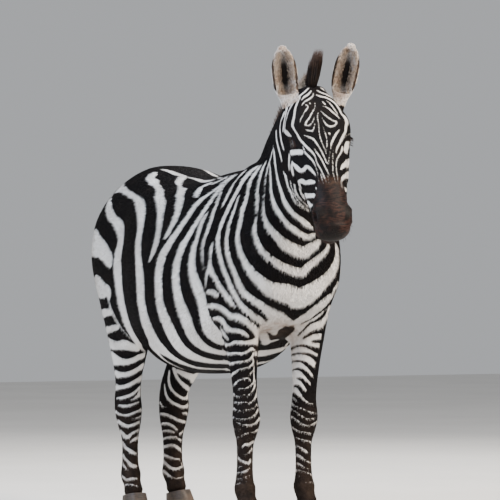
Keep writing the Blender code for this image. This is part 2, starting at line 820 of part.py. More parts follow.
def eye_opening(side):
    """The almond between the lids, its length slanted down towards the nose."""
    bm = bmesh.new()
    bmesh.ops.create_icosphere(bm, subdivisions=3, radius=1.0)
    slant = Matrix.Rotation(EYE_SLANT, 3, "X")
    for vertex in bm.verts:
        local = slant @ Vector([c * r for c, r in zip(vertex.co, EYE_OPENING)])
        local += Vector((side * (EYE_AT[0] + 0.027), EYE_AT[1], EYE_AT[2]))
        vertex.co = on_head(*local)
    face_out(bm)
    return bmesh_object("opening", bm)


def head_nodes(whole):
    """Head, muzzle, ears and eyes."""
    point, normal = slanted(HEAD_JOINT, -1)
    field = beyond(whole, point, -normal, 0.03)
    corners = [on_head(x, y, z) for x in (-0.17, 0.17) for y in (-0.20, 0.56) for z in (-0.28, 0.08)]
    low = [min(c[i] for c in corners) for i in range(3)]
    high = [max(c[i] for c in corners) for i in range(3)]
    head = flesh_mesh("head", field, low, high, HEAD_CELL, HEAD_FACES)
    cut_flat(head, point + normal * JOINT_GAP / 2, -normal)
    nodes = {}
    cutters = [mouth_slit(whole)]
    for name, side in SIDES.items():
        cutters += [eye_opening(side), eyeball("socket", side, EYE_RADIUS + 1.5 * JOINT_GAP)]
        nodes[f"eye_{name}"] = eyeball(f"eye_{name}", side, EYE_RADIUS)
    for cutter in cutters:
        combine(head, cutter, "DIFFERENCE")
        delete(cutter)
    plates = [plate(on_head(0, 0.375, -0.07), HEAD_AXES.col[1], (0.12, 0.12), HEAD_AXES.col[0])]
    spots = {"head": on_head(0, 0.16, -0.09), "muzzle": on_head(0, 0.46, -0.07)}
    for name, side in SIDES.items():
        foot = on_head(*EAR_FOOT[name])
        tip = on_head(*EAR_TIP[name])
        axis = (tip - foot).normalized()
        normal = axis + EAR_JOINT_SLOPE * side * HEAD_AXES.col[0]
        plates.append(plate(foot + axis * EAR_JOINT, normal, (0.050, 0.045), HEAD_AXES.col[0]))
        spots[f"ear_{name}"] = (foot + tip) / 2
    nodes.update(part_at_joints(head, plates, spots))
    return nodes


def skin_point(field, start, way, reach=0.16):
    """The outermost point of the skin on a line from outside towards -way."""
    steps = np.linspace(reach, -reach, 400)
    line = np.array(start)[None] + steps[:, None] * np.array(way)[None]
    values = field(line)
    first = int(np.argmax(values < 0))
    share = values[first - 1] / (values[first - 1] - values[first])
    return Vector(line[first - 1] + share * (line[first] - line[first - 1]))


def crest(whole, share):
    """A point of the skin on the crest of the neck, the way its hair stands, and the way to the poll.
    share is 0 at the withers and 1 at the poll."""
    at = np.linspace(0, 1, len(NECK) + 1)
    ends = [(shift, *top) for top, _, shift, _ in NECK] + [tuple(on_head(0, 0.0, -0.01))]
    curve = [smooth_through(at, column) for column in zip(*ends)]
    here = Vector([float(c(share)) for c in curve])
    onward = Vector([float(c(share + 0.02) - c(share - 0.02)) for c in curve]).normalized()
    up = Vector((1, 0, 0)).cross(onward).normalized()
    if up.z < 0:
        up.negate()
    return skin_point(whole, here, up), up, onward


def loft(name, rings):
    """A closed skin over rings of as many points each, its two ends flat."""
    bm = bmesh.new()
    rows = [[bm.verts.new(p) for p in ring] for ring in rings]
    count = len(rows[0])
    for a, b in zip(rows, rows[1:]):
        for i in range(count):
            bm.faces.new((a[i], a[(i + 1) % count], b[(i + 1) % count], b[i]))
    bm.faces.new(rows[0][::-1])
    bm.faces.new(rows[-1])
    face_out(bm)
    bmesh.ops.triangulate(bm, faces=bm.faces)
    return bmesh_object(name, bm)


def lock(root, tip, wide, size, bow):
    """A flat, pointed lock of hair. wide is the way its flat side runs, size its width and thickness,
    bow how far it swings out of the straight line to its tip."""
    way = tip - root
    across = (wide - wide.project(way)).normalized()
    through = way.cross(across).normalized()
    bm = bmesh.new()
    rings = []
    for share, width in LOCK_SHAPE:
        centre = root + way * share + bow * (4 * share * (1 - share))
        half = across * size[0] * width / 2
        thin = through * size[1] * width / 2
        rings.append([bm.verts.new(centre + p) for p in (half, thin, -half, -thin)])
    point = bm.verts.new(tip)
    for a, b in zip(rings, rings[1:]):
        for i in range(4):
            bm.faces.new((a[i], a[(i + 1) % 4], b[(i + 1) % 4], b[i]))
    for i in range(4):
        bm.faces.new((rings[-1][i], rings[-1][(i + 1) % 4], point))
    bm.faces.new(rings[0][::-1])
    face_out(bm)
    bmesh.ops.triangulate(bm, faces=bm.faces)
    return bmesh_object("lock", bm)


def grow_together(core, locks):
    """Core and locks as one closed surface."""
    group = bpy.data.collections.new("locks")
    for piece in locks:
        group.objects.link(piece)
    combine(core, group, "UNION")
    for piece in locks:
        delete(piece)
    bpy.data.collections.remove(group)
    largest_island(core)


def ridge(whole, rise):
    """The root of the mane: a smooth ridge as high as this share of the hair."""
    length = smooth_through(*zip(*MANE))
    rings = []
    for share in np.linspace(MANE_START, MANE_END, 14):
        root, up, onward = crest(whole, share)
        side = up.cross(onward).normalized()
        height = float(length(share))
        ring = []
        for width, level in [(1.0, -0.2), (0.8, rise * 0.6), (0.3, rise)]:
            ring.append(root + side * MANE_HALF_WIDTH * width + up * height * level)
            ring.insert(0, root - side * MANE_HALF_WIDTH * width + up * height * level)
        rings.append(ring)
    return loft("mane", rings)


def mane_locks(whole):
    """Two rows of standing locks that overlap along the crest and lean a little to and fro."""
    chance = random.Random(5)
    length = smooth_through(*zip(*MANE))
    locks = []
    for row in (-1, 1):
        for i in range(MANE_LOCKS):
            share = MANE_START + (MANE_END - MANE_START) * (i + 0.5 + 0.25 * row) / MANE_LOCKS
            root, up, onward = crest(whole, share)
            side = up.cross(onward).normalized()
            height = float(length(share)) * chance.uniform(0.86, 1.06)
            foot = root + side * row * MANE_HALF_WIDTH * 0.45 - up * 0.012
            tip = root + side * row * chance.uniform(0.0, 0.006) + up * height
            tip += onward * chance.uniform(-0.016, 0.008)
            bow = side * row * chance.uniform(0.0, 0.004)
            wide = onward + side * chance.uniform(-0.3, 0.3)
            size = [s * chance.uniform(0.85, 1.15) for s in MANE_LOCK]
            locks.append(lock(foot, tip, wide, size, bow))
    return locks


def round_ring(centre, across, front, half_width, half_depth, count):
    ring = []
    for i in range(count):
        angle = 2 * math.pi * i / count
        ring.append(centre + across * half_width * math.cos(angle) + front * half_depth * math.sin(angle))
    return ring


def tapered_core(name, line, radii, front, count=8):
    """A round core along a line of points, as wide as each radius says."""
    side = Vector((1, 0, 0))
    return loft(name, [round_ring(p, side, front, r, r, count) for p, r in zip(line, radii)])


def forelock_point(root, share):
    lean = Vector((*FORELOCK_LEAN, 0)) * max(share, 0) ** 2
    return root + Vector((0, 0, FORELOCK_HEIGHT * share)) + lean


def forelock(whole):
    """The tuft that stands between the ears."""
    chance = random.Random(11)
    root = crest(whole, 0.985)[0]
    line = [forelock_point(root, share) for share in (-0.12, 0.0, 0.25, 0.5)]
    core = tapered_core("forelock", line, (0.016, 0.019, 0.017, 0.008), Vector((0, 1, 0)))
    locks = []
    for i in range(FORELOCK_LOCKS):
        angle = 2 * math.pi * (i + chance.uniform(-0.3, 0.3)) / FORELOCK_LOCKS
        out = Vector((math.cos(angle), math.sin(angle), 0))
        foot = forelock_point(root, -0.08) + out * FORELOCK_HALF_WIDTH * 0.45
        reach = chance.uniform(0.72, 1.0)
        tip = forelock_point(root, reach) + out * chance.uniform(0.002, 0.012) * (1.3 - reach)
        wide = Vector((-out.y, out.x, 0))
        locks.append(lock(foot, tip, wide, FORELOCK_LOCK, out * chance.uniform(0.006, 0.010)))
    grow_together(core, locks)
    return core


def tuft_point(share):
    return Vector(TAIL[6][:3]).lerp(Vector(TUFT_END), share)


def grow_tuft(dock):
    """Long locks that hang from the end of the dock, from all around it and one above another."""
    chance = random.Random(3)
    line = [tuft_point(share) for share in (-0.02, 0.12, 0.3, 0.5)]
    core = tapered_core("core", line, (0.012, 0.018, 0.019, 0.009), Vector((0, 1, 0)))
    locks = [core]
    for i in range(TUFT_LOCKS):
        angle = 2.4 * i
        out = Vector((math.cos(angle), math.sin(angle), 0))
        start = 0.02 + 0.36 * i / TUFT_LOCKS
        end = min(1.0, start + chance.uniform(0.42, 0.66))
        if i % 4 == 0:
            end = chance.uniform(0.90, 1.0)
        tip = tuft_point(end) + out * chance.uniform(0.004, 0.016) * (1.35 - end)
        wide = Vector((-out.y, out.x, 0))
        bow = out * chance.uniform(0.014, 0.022)
        locks.append(lock(tuft_point(start), tip, wide, TUFT_LOCK, bow))
    grow_together(dock, locks)


def inflated(piece, near):
    """A copy of a carrier whose surface stands out by the gap between nodes around another piece."""
    copy = bpy.data.objects.new("inflated", piece.data.copy())
    bpy.context.collection.objects.link(copy)
    points = [v.co for v in near.data.vertices]
    low = [min(p[i] for p in points) - HAIR_MARGIN for i in range(3)]
    high = [max(p[i] for p in points) + HAIR_MARGIN for i in range(3)]
    for vertex in copy.data.vertices:
        if all(a < c < b for a, c, b in zip(low, vertex.co, high)):
            vertex.co += vertex.normal * (1.6 * JOINT_GAP)
    return copy


def seat_on(piece, carriers):
    """Cuts away what of a piece lies in its carriers, but for the gap between nodes."""
    for carrier in carriers:
        cutter = inflated(carrier, piece)
        combine(piece, cutter, "DIFFERENCE", "MANIFOLD")
        delete(cutter)
    largest_island(piece)


def block(point, normal):
    """A box that fills the space on one side of a plane around a point."""
    frame = Vector(normal).to_track_quat("Z", "Y").to_matrix().to_4x4()
    frame.translation = Vector(point) + Vector(normal) * 0.15
    bm = bmesh.new()
    bmesh.ops.create_cube(bm, size=0.3, matrix=frame)
    return bmesh_object("block", bm)


def clear_of(piece, point, normal):
    """Keeps what lies behind a plane."""
    wall = block(point, normal)
    combine(piece, wall, "DIFFERENCE", "MANIFOLD")
    delete(wall)


def hair_nodes(whole, nodes):
    mane = ridge(whole, 0.45)
    grow_together(mane, mane_locks(whole))
    tuft = forelock(whole)
    root, _, onward = crest(whole, FORELOCK_JOINT)
    clear_of(mane, root - onward * JOINT_GAP, onward)
    clear_of(tuft, root + onward * JOINT_GAP, -onward)
    seat_on(mane, [nodes["torso"], nodes["neck"], nodes["head"]])
    seat_on(tuft, [nodes["head"]])
    grow_tuft(nodes["tail_tuft"])
    nodes["mane"] = mane
    nodes["forelock"] = tuft


# Colour, roughness and the nodes that have it.
MATERIALS = {
    "striped_coat": ((0.42, 0.40, 0.38), 0.75, ("torso", "neck", "head", "tail", "leg_", "ear_")),
    "muzzle_skin": ((0.030, 0.022, 0.019), 0.60, ("muzzle",)),
    "eyeball": ((0.012, 0.008, 0.006), 0.08, ("eye_",)),
    "hoof_horn": ((0.060, 0.052, 0.045), 0.55, ("hoof_",)),
    "mane_hair": ((0.090, 0.070, 0.058), 0.70, ("mane",)),
    "dark_hair": ((0.016, 0.012, 0.010), 0.60, ("forelock", "tail_tuft")),
}


def make_materials():
    made = {}
    for name, (colour, roughness, _) in MATERIALS.items():
        material = bpy.data.materials.new(name)
        material.use_nodes = True
        shader = material.node_tree.nodes["Principled BSDF"]
        shader.inputs["Base Color"].default_value = (*colour, 1)
        shader.inputs["Roughness"].default_value = roughness
        shader.inputs["Metallic"].default_value = 0.0
        material.diffuse_color = (*colour, 1)
        made[name] = material
    return made


def material_of(node):
    exact = [name for name, (_, _, users) in MATERIALS.items() if node in users]
    by_kind = [name for name, (_, _, users) in MATERIALS.items() if any(node.startswith(u) for u in users)]
    return (exact + by_kind)[0]


def stand_at_origin(pieces):
    """Moves the whole animal so that the middle of its box stands over the origin."""
    points = [v.co for piece in pieces for v in piece.data.vertices]
    shift = Vector([-(min(p[i] for p in points) + max(p[i] for p in points)) / 2 for i in range(2)] + [0])
    for piece in pieces:
        piece.location = shift


def clear():
    for piece in list(bpy.data.objects):
        bpy.data.objects.remove(piece, do_unlink=True)


def main():
    clear()
    whole = flesh(body_parts() + head_parts())
    nodes = body_nodes(whole)
    nodes.update(head_nodes(whole))
    hair_nodes(whole, nodes)
    stand_at_origin(nodes.values())
    materials = make_materials()
    for name, piece in nodes.items():
        piece.name = name
        piece.data.materials.clear()
        piece.data.materials.append(materials[material_of(name)])
        piece.data.shade_smooth()
        piece.data.set_sharp_from_angle(angle=math.radians(38))


main()
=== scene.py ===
"""Dresses the zebra: striped skin under a coat of short hair, standing mane, forelock and tail hair,
ear hair, wet eyes with lashes and dusty hooves, in a plain pale studio.

The skin is the same smooth field of limbs and muscles that the solids are made from, read finely. Its
stripes are brush strokes that were placed on the photograph: each is thrown from the camera on to the
skin and carried on round the side that the camera doesn't see.
"""
import math

import bmesh
import bpy
import numpy as np
from mathutils import Matrix, Vector
from mathutils.bvhtree import BVHTree
from mathutils.kdtree import KDTree


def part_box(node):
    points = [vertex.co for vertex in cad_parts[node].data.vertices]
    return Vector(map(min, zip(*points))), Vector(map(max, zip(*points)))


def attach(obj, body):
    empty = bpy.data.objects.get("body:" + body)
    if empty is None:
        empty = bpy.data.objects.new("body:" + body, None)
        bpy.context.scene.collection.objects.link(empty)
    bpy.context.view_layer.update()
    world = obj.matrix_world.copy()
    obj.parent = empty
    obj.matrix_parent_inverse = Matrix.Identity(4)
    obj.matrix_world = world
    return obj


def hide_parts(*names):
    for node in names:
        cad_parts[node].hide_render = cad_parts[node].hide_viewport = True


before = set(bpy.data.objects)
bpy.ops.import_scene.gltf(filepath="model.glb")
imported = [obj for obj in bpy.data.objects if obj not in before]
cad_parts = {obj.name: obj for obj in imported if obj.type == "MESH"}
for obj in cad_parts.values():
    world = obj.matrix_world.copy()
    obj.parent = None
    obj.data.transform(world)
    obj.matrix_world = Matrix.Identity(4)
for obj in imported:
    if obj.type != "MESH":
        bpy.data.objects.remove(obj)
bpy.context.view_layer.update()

SIDES = {"right": -1.0, "left": 1.0}

# Torso: place along Y, back line, belly line, half width.
TORSO = [
    (-0.22, 1.145, 0.800, 0.105),
    (-0.15, 1.208, 0.718, 0.148),
    (-0.07, 1.238, 0.672, 0.182),
    (0.02, 1.252, 0.632, 0.220),
    (0.12, 1.240, 0.575, 0.262),
    (0.24, 1.222, 0.532, 0.292),
    (0.36, 1.222, 0.520, 0.298),
    (0.48, 1.240, 0.535, 0.286),
    (0.60, 1.268, 0.595, 0.258),
    (0.72, 1.276, 0.690, 0.223),
    (0.83, 1.254, 0.790, 0.184),
    (0.91, 1.206, 0.880, 0.128),
]
TORSO_MIDDLE = 0.90
TORSO_CAPS = (0.05, 0.07)
TORSO_SQUARENESS = 2.6

# Neck: crest point and throat point in Y and Z, sideways shift, half width.
NECK = [
    ((0.080, 1.165), (-0.225, 0.850), 0.000, 0.150),
    ((-0.020, 1.228), (-0.268, 0.950), 0.000, 0.136),
    ((-0.100, 1.302), (-0.298, 1.060), -0.004, 0.114),
    ((-0.157, 1.388), (-0.330, 1.170), -0.010, 0.095),
    ((-0.238, 1.452), (-0.365, 1.262), -0.018, 0.082),
    ((-0.330, 1.488), (-0.398, 1.325), -0.024, 0.072),
]
NECK_BLEND = 0.09
# The flat joint between neck and head, from the crest to the throat.
HEAD_JOINT = ((-0.200, 1.430), (-0.335, 1.190))
NECK_CAPS = (0.06, 0.03)

# The head's own axes start at the poll: left, down the face, and out through the forehead.
POLL = Vector((-0.022, -0.425, 1.515))
FACE_PITCH = math.radians(27)
HEAD_TURN = math.radians(13)
HEAD_ROLL = math.radians(2)

# Head: place down the face, brow line, widest line, jaw line, half width.
HEAD = [
    (0.000, -0.002, -0.065, -0.140, 0.058),
    (0.050, 0.010, -0.058, -0.172, 0.089),
    (0.100, 0.019, -0.052, -0.204, 0.107),
    (0.160, 0.023, -0.052, -0.216, 0.102),
    (0.220, 0.022, -0.060, -0.200, 0.092),
    (0.280, 0.017, -0.070, -0.178, 0.083),
    (0.340, 0.010, -0.072, -0.156, 0.074),
    (0.400, 0.002, -0.070, -0.140, 0.064),
    (0.450, -0.006, -0.070, -0.128, 0.060),
    (0.500, -0.022, -0.072, -0.120, 0.060),
]
HEAD_CAPS = (0.026, 0.034)
EYE_RADIUS = 0.0225
EYE_AT = (0.0815, 0.184, -0.036)
LID_THICKNESS = 0.0050
EYE_SLANT = math.radians(28)
EYE_OPENING = (0.025, 0.0205, 0.0130)
OPENING_OUT = 0.027

# The line of the mouth, seen from a point between the jaws: how far round it runs to each side.
MOUTH_AT = (0.455, -0.104)
MOUTH_REACH = math.radians(84)
MOUTH_DIP = 0.012
MOUTH_WIDTH = 0.0045
MOUTH_DEPTH = 0.008

# Ears: foot and tip of the cup in the head's own axes, for each side.
EAR_FOOT = {"right": (-0.088, 0.006, -0.044), "left": (0.102, 0.006, -0.044)}
EAR_TIP = {"right": (-0.102, -0.146, 0.040), "left": (0.144, -0.146, 0.046)}
EAR_HALF_WIDTH = 0.044
EAR_WALL = 0.0065

# Fore leg: height, sideways, along Y, half width, half depth to the front and to the back.
FORE_LEG = [
    (0.840, 0.140, -0.100, 0.058, 0.120, 0.130),
    (0.740, 0.138, -0.100, 0.060, 0.090, 0.110),
    (0.660, 0.135, -0.105, 0.057, 0.066, 0.078),
    (0.580, 0.131, -0.110, 0.050, 0.053, 0.058),
    (0.500, 0.128, -0.114, 0.044, 0.045, 0.045),
    (0.440, 0.126, -0.116, 0.044, 0.045, 0.042),
    (0.380, 0.124, -0.118, 0.050, 0.050, 0.046),
    (0.335, 0.124, -0.116, 0.042, 0.043, 0.042),
    (0.290, 0.125, -0.114, 0.030, 0.033, 0.037),
    (0.220, 0.126, -0.114, 0.028, 0.031, 0.036),
    (0.170, 0.127, -0.114, 0.031, 0.034, 0.039),
    (0.138, 0.127, -0.116, 0.037, 0.041, 0.045),
    (0.108, 0.127, -0.126, 0.033, 0.038, 0.039),
    (0.085, 0.127, -0.136, 0.035, 0.039, 0.039),
]

# Hind leg, in the same columns.
HIND_LEG = [
    (1.010, 0.135, 0.745, 0.085, 0.140, 0.170),
    (0.900, 0.156, 0.745, 0.092, 0.150, 0.152),
    (0.790, 0.162, 0.735, 0.090, 0.142, 0.140),
    (0.690, 0.156, 0.738, 0.080, 0.108, 0.112),
    (0.600, 0.146, 0.762, 0.064, 0.084, 0.090),
    (0.520, 0.132, 0.794, 0.049, 0.064, 0.070),
    (0.450, 0.122, 0.816, 0.044, 0.057, 0.062),
    (0.385, 0.119, 0.824, 0.049, 0.064, 0.058),
    (0.330, 0.116, 0.822, 0.042, 0.057, 0.053),
    (0.270, 0.114, 0.818, 0.029, 0.043, 0.045),
    (0.190, 0.114, 0.816, 0.029, 0.039, 0.043),
    (0.142, 0.114, 0.811, 0.036, 0.044, 0.049),
    (0.110, 0.114, 0.800, 0.032, 0.039, 0.040),
    (0.085, 0.114, 0.790, 0.035, 0.039, 0.039),
]
HOCK = (0.121, 0.872, 0.424)
FORE_STRIDE = {"right": 0.0, "left": 0.036}
HIND_STRIDE = {"right": -0.006, "left": 0.095}
HIND_TURN = {"right": math.radians(4), "left": math.radians(24)}
STRIDE_TOP = 0.85
STRIDE_BOTTOM = 0.45

# The dock of the tail: sideways, along Y, height, radius.
TAIL = [
    (0.000, 0.880, 1.180, 0.038),
    (0.000, 0.930, 1.178, 0.035),
    (0.001, 0.975, 1.158, 0.031),
    (0.003, 1.006, 1.108, 0.026),
    (0.006, 1.020, 1.030, 0.022),
    (0.009, 1.024, 0.940, 0.018),
    (0.012, 1.022, 0.850, 0.015),
    (0.013, 1.018, 0.760, 0.012),
]
TUFT_END = (0.016, 1.006, 0.440)

# Mane: share of the way from withers to poll, length of hair.
MANE_START = 0.10
MANE_END = 0.965
MANE = [(0.10, 0.014), (0.22, 0.040), (0.45, 0.062), (0.78, 0.066), (1.00, 0.062)]
MANE_HALF_WIDTH = 0.016
FORELOCK_HEIGHT = 0.128
FORELOCK_HALF_WIDTH = 0.022
FORELOCK_LEAN = (0.022, -0.012)


def smooth_through(places, values):
    """A smooth function through these values, level beyond both ends."""
    at = np.array(places, float)
    value = np.array(values, float)
    slope = np.gradient(value, at)

    def read(t):
        t = np.clip(t, at[0], at[-1])
        i = np.clip(np.searchsorted(at, t, side="right") - 1, 0, len(at) - 2)
        width = at[i + 1] - at[i]
        u = (t - at[i]) / width
        v = 1 - u
        rise = width * u * v * (slope[i] * v - slope[i + 1] * u)
        return value[i] * (1 + 2 * u) * v * v + value[i + 1] * (1 + 2 * v) * u * u + rise

    return read


def unit(rows, least=0.0):
    """Each row at length 1. least is added to its length where that may be 0."""
    return rows / (np.linalg.norm(rows, axis=1, keepdims=True) + least)


def square_to(ways, rows):
    """The rows without what lies along their ways, which have length 1."""
    return rows - (rows * ways).sum(1, keepdims=True) * ways


def radial_distance(parts, radii, squareness=2.0):
    """About how far a point is from a rounded solid with these half sizes, below 0 inside."""
    reach = np.sqrt(sum(p * p for p in parts)) + 1e-9
    share = sum(np.abs(p / r) ** squareness for p, r in zip(parts, radii)) ** (1 / squareness)
    return reach - reach / np.maximum(share, 1e-6)


def sweep(rows, side, caps, squareness=2.0, steps=4):
    """A limb along a smooth axis. Each row is its centre, a vector towards its front, its half width
    and its half depths to the front and to the back. side is about the way its width runs."""
    rows = np.array(rows, float)
    at = np.arange(len(rows))
    fine = np.linspace(0, len(rows) - 1, (len(rows) - 1) * steps + 1)
    rows = np.stack([smooth_through(at, column)(fine) for column in rows.T], axis=1)
    along = np.gradient(rows[:, :3], axis=0)
    rows = np.hstack([rows, unit(along)])
    start = rows[:-1]
    step = np.diff(rows, axis=0)
    margin = rows[:, 6:9].max() + max(caps)
    side = np.array(side, float)

    def field(p):
        away = np.full(len(p), np.inf)
        which = np.zeros(len(p), int)
        share = np.zeros(len(p))
        for i, (row, run) in enumerate(zip(start, step)):
            axis = run[:3]
            t = np.clip((p - row[:3]) @ axis / (axis @ axis), 0, 1)
            gap = ((p - row[:3] - t[:, None] * axis) ** 2).sum(1)
            near = gap < away
            away[near] = gap[near]
            which[near] = i
            share[near] = t[near]
        here = start[which] + share[:, None] * step[which]
        tangent = unit(here[:, 9:])
        front = unit(square_to(tangent, here[:, 3:6]))
        across = np.cross(tangent, front)
        across *= np.sign(across @ side)[:, None]
        r = p - here[:, :3]
        u = (r * front).sum(1)
        v = (r * across).sum(1)
        at_start = (which == 0) & (share == 0)
        at_end = (which == len(start) - 1) & (share == 1)
        w = np.where(at_start | at_end, (r * tangent).sum(1), 0)
        depth = np.where(u > 0, here[:, 7], here[:, 8])
        past = np.where(at_start, caps[0], caps[1])
        return radial_distance((v, u, w), (here[:, 6], depth, past), squareness)

    return field, rows[:, :3].min(0) - margin, rows[:, :3].max(0) + margin


def ball(centre, radii, turn=None):
    """An ellipsoid. The columns of turn are the ways that its three radii run."""
    centre = np.array(centre, float)
    radii = np.array(radii, float)
    matrix = np.eye(3) if turn is None else np.array(turn, float)
    reach = radii.max()

    def field(p):
        return radial_distance(((p - centre) @ matrix).T, radii)

    return field, centre - reach, centre + reach


def blended(a, b, k):
    """The smaller of two fields, rounded over a width of k where they meet."""
    near = np.maximum(k - np.abs(a - b), 0) / k
    return np.minimum(a, b) - near * near * k / 4


def flesh(parts):
    """One field from a list of (kind, solid, blend). A solid is read only in its own box and a blend
    around it, as it changes nothing further out."""

    def field(p):
        made = np.full(len(p), 0.2)
        for kind, (part, low, high), k in parts:
            inside = ((p > low - k) & (p < high + k)).all(1)
            if not inside.any():
                continue
            value = part(p[inside])
            if kind == "add":
                made[inside] = blended(made[inside], value, k)
            else:
                made[inside] = -blended(-made[inside], value, k)
        return made

    return field


def head_axes():
    """The head's left, down the face, and out through the forehead, as columns in world axes."""
    face = Matrix.Rotation(-FACE_PITCH, 3, "X")
    turn = Matrix.Rotation(-HEAD_TURN, 3, "Z")
    out = turn @ face @ Vector((0, -1, 0))
    roll = Matrix.Rotation(HEAD_ROLL, 3, turn @ Vector((0, -1, 0)))
    left = roll @ turn @ Vector((1, 0, 0))
    out = roll @ out
    return Matrix((left, left.cross(out), out)).transposed()


HEAD_AXES = head_axes()


def on_head(x, y, z):
    return POLL + HEAD_AXES @ Vector((x, y, z))


def eye_at(side, out=0.0):
    """The middle of an eye in the head's own axes, or the place this far out from it."""
    return side * (EYE_AT[0] + out), EYE_AT[1], EYE_AT[2]


def head_ball(centre, radii):
    return ball(on_head(*centre), radii, HEAD_AXES)


def torso():
    z = TORSO_MIDDLE
    rows = [(0, y, z, 0, 0, 1, width, back - z, z - belly) for y, back, belly, width in TORSO]
    return sweep(rows, (1, 0, 0), TORSO_CAPS, TORSO_SQUARENESS)


def neck():
    rows = []
    for crest, throat, shift, width in NECK:
        top = Vector((shift, *crest))
        low = Vector((shift, *throat))
        middle = low.lerp(top, 0.45)
        up = (top - low).normalized()
        rows.append((*middle, *up, width, (top - middle).length, (middle - low).length))
    return sweep(rows, (1, 0, 0), NECK_CAPS, 2.1, steps=8)


def head_core():
    rows = []
    for y, brow, wide, jaw, width in HEAD:
        rows.append((*on_head(0, y, wide), *HEAD_AXES.col[2], width, brow - wide, wide - jaw))
    return sweep(rows, HEAD_AXES.col[0], HEAD_CAPS, 2.3)


class Leg:
    """One leg: where its table of sizes stands, how far its foot is set back and turned out."""

    def __init__(self, kind, name):
        self.side = SIDES[name]
        self.table = FORE_LEG if kind == "fore" else HIND_LEG
        self.stride = (FORE_STRIDE if kind == "fore" else HIND_STRIDE)[name]
        self.turn = HIND_TURN[name] if kind == "hind" else 0.0

    def share(self, z):
        """0 at the body, 1 from the hock or knee down."""
        return min(1.0, max(0.0, (STRIDE_TOP - z) / (STRIDE_TOP - STRIDE_BOTTOM)))

    def front(self, z):
        angle = self.turn * self.share(z)
        return Vector((self.side * math.sin(angle), -math.cos(angle), 0))

    def place(self, x, y, z, back=0.0):
        spot = Vector((self.side * x, y + self.stride * self.share(z), z))
        return spot - back * self.front(z)

    def limb(self):
        rows = []
        for z, x, y, width, front, back in self.table:
            rows.append((*self.place(x, y, z), *self.front(z), width, front, back))
        return sweep(rows, (1, 0, 0), (0.09, 0.03), 2.2)


LEGS = [(kind, name) for kind in ("fore", "hind") for name in SIDES]


def legs():
    return [Leg(kind, name) for kind, name in LEGS]


def muscles(side):
    """Bulges of one side's shoulder, breast, elbow, haunch and stifle."""
    return [
        ("add", ball((side * 0.108, -0.130, 1.020), (0.070, 0.100, 0.220)), 0.09),
        ("add", ball((side * 0.096, -0.208, 0.925), (0.068, 0.074, 0.125)), 0.12),
        ("add", ball((side * 0.045, -0.160, 0.835), (0.060, 0.085, 0.100)), 0.10),
        ("add", ball((side * 0.135, -0.030, 0.850), (0.066, 0.110, 0.120)), 0.08),
        ("add", ball((side * 0.140, 0.755, 0.990), (0.103, 0.172, 0.190)), 0.10),
        ("add", ball((side * 0.100, 0.858, 0.950), (0.096, 0.108, 0.210)), 0.09),
        ("add", ball((side * 0.165, 0.650, 0.745), (0.052, 0.075, 0.105)), 0.08),
    ]


def hock(leg):
    """The heel bone that stands out behind the hock."""
    spot = leg.place(HOCK[0], HOCK[1], HOCK[2])
    return ("add", ball(spot, (0.022, 0.030, 0.042)), 0.03)


def face(side):
    """One side of the head: brow, cheek, facial ridge, temple, lids, nostril and lips."""
    lid = EYE_RADIUS + LID_THICKNESS
    ridge = []
    for x, y, z, half in [
        (0.092, 0.205, -0.064, 0.012),
        (0.086, 0.255, -0.078, 0.011),
        (0.076, 0.310, -0.086, 0.010),
    ]:
        ridge.append((*on_head(side * x, y, z), *HEAD_AXES.col[2], half, half, half))
    return [
        ("add", head_ball((side * 0.072, 0.140, -0.028), (0.034, 0.054, 0.030)), 0.03),
        ("add", head_ball((side * 0.052, 0.150, -0.140), (0.036, 0.085, 0.080)), 0.03),
        ("add", sweep(ridge, HEAD_AXES.col[0], (0.01, 0.01)), 0.03),
        ("add", head_ball(eye_at(side), (lid, lid, lid)), 0.010),
        ("add", head_ball((side * 0.049, 0.464, -0.042), (0.024, 0.036, 0.024)), 0.02),
        ("carve", head_ball((side * 0.067, 0.470, -0.038), (0.018, 0.018, 0.011)), 0.005),
    ]


def lips():
    return [
        ("add", head_ball((0, 0.503, -0.076), (0.050, 0.034, 0.038)), 0.02),
        ("add", head_ball((0, 0.482, -0.128), (0.036, 0.046, 0.024)), 0.015),
    ]


def mouth_slit(skin):
    """The solid to cut away for the line of the mouth: it runs from corner to corner around the lips and
    dips at the corners."""
    rings = []
    for angle in np.linspace(-MOUTH_REACH, MOUTH_REACH, 21):
        way = HEAD_AXES @ Vector((math.sin(angle), math.cos(angle), 0))
        dip = MOUTH_DIP * (1 - math.cos(angle))
        centre = on_head(0, MOUTH_AT[0], MOUTH_AT[1] - dip)
        edge = (skin_point(skin, centre, way) - centre).length
        out = HEAD_AXES.col[2]
        ring = [(edge - MOUTH_DEPTH, -0.3), (edge + 0.01, -1), (edge + 0.01, 1), (edge - MOUTH_DEPTH, 0.3)]
        rings.append([centre + way * reach + out * MOUTH_WIDTH / 2 * rise for reach, rise in ring])
    return loft("mouth", rings)


def ear_lines(name):
    """Foot, axis, length, way that the ear opens and way across it."""
    foot = on_head(*EAR_FOOT[name])
    axis = on_head(*EAR_TIP[name]) - foot
    length = axis.length
    axis.normalize()
    opening = HEAD_AXES @ Vector((0, 0, 1)) + Vector((-0.30, -0.10, 0))
    opening = (opening - opening.dot(axis) * axis).normalized()
    return foot, axis, length, opening, axis.cross(opening)


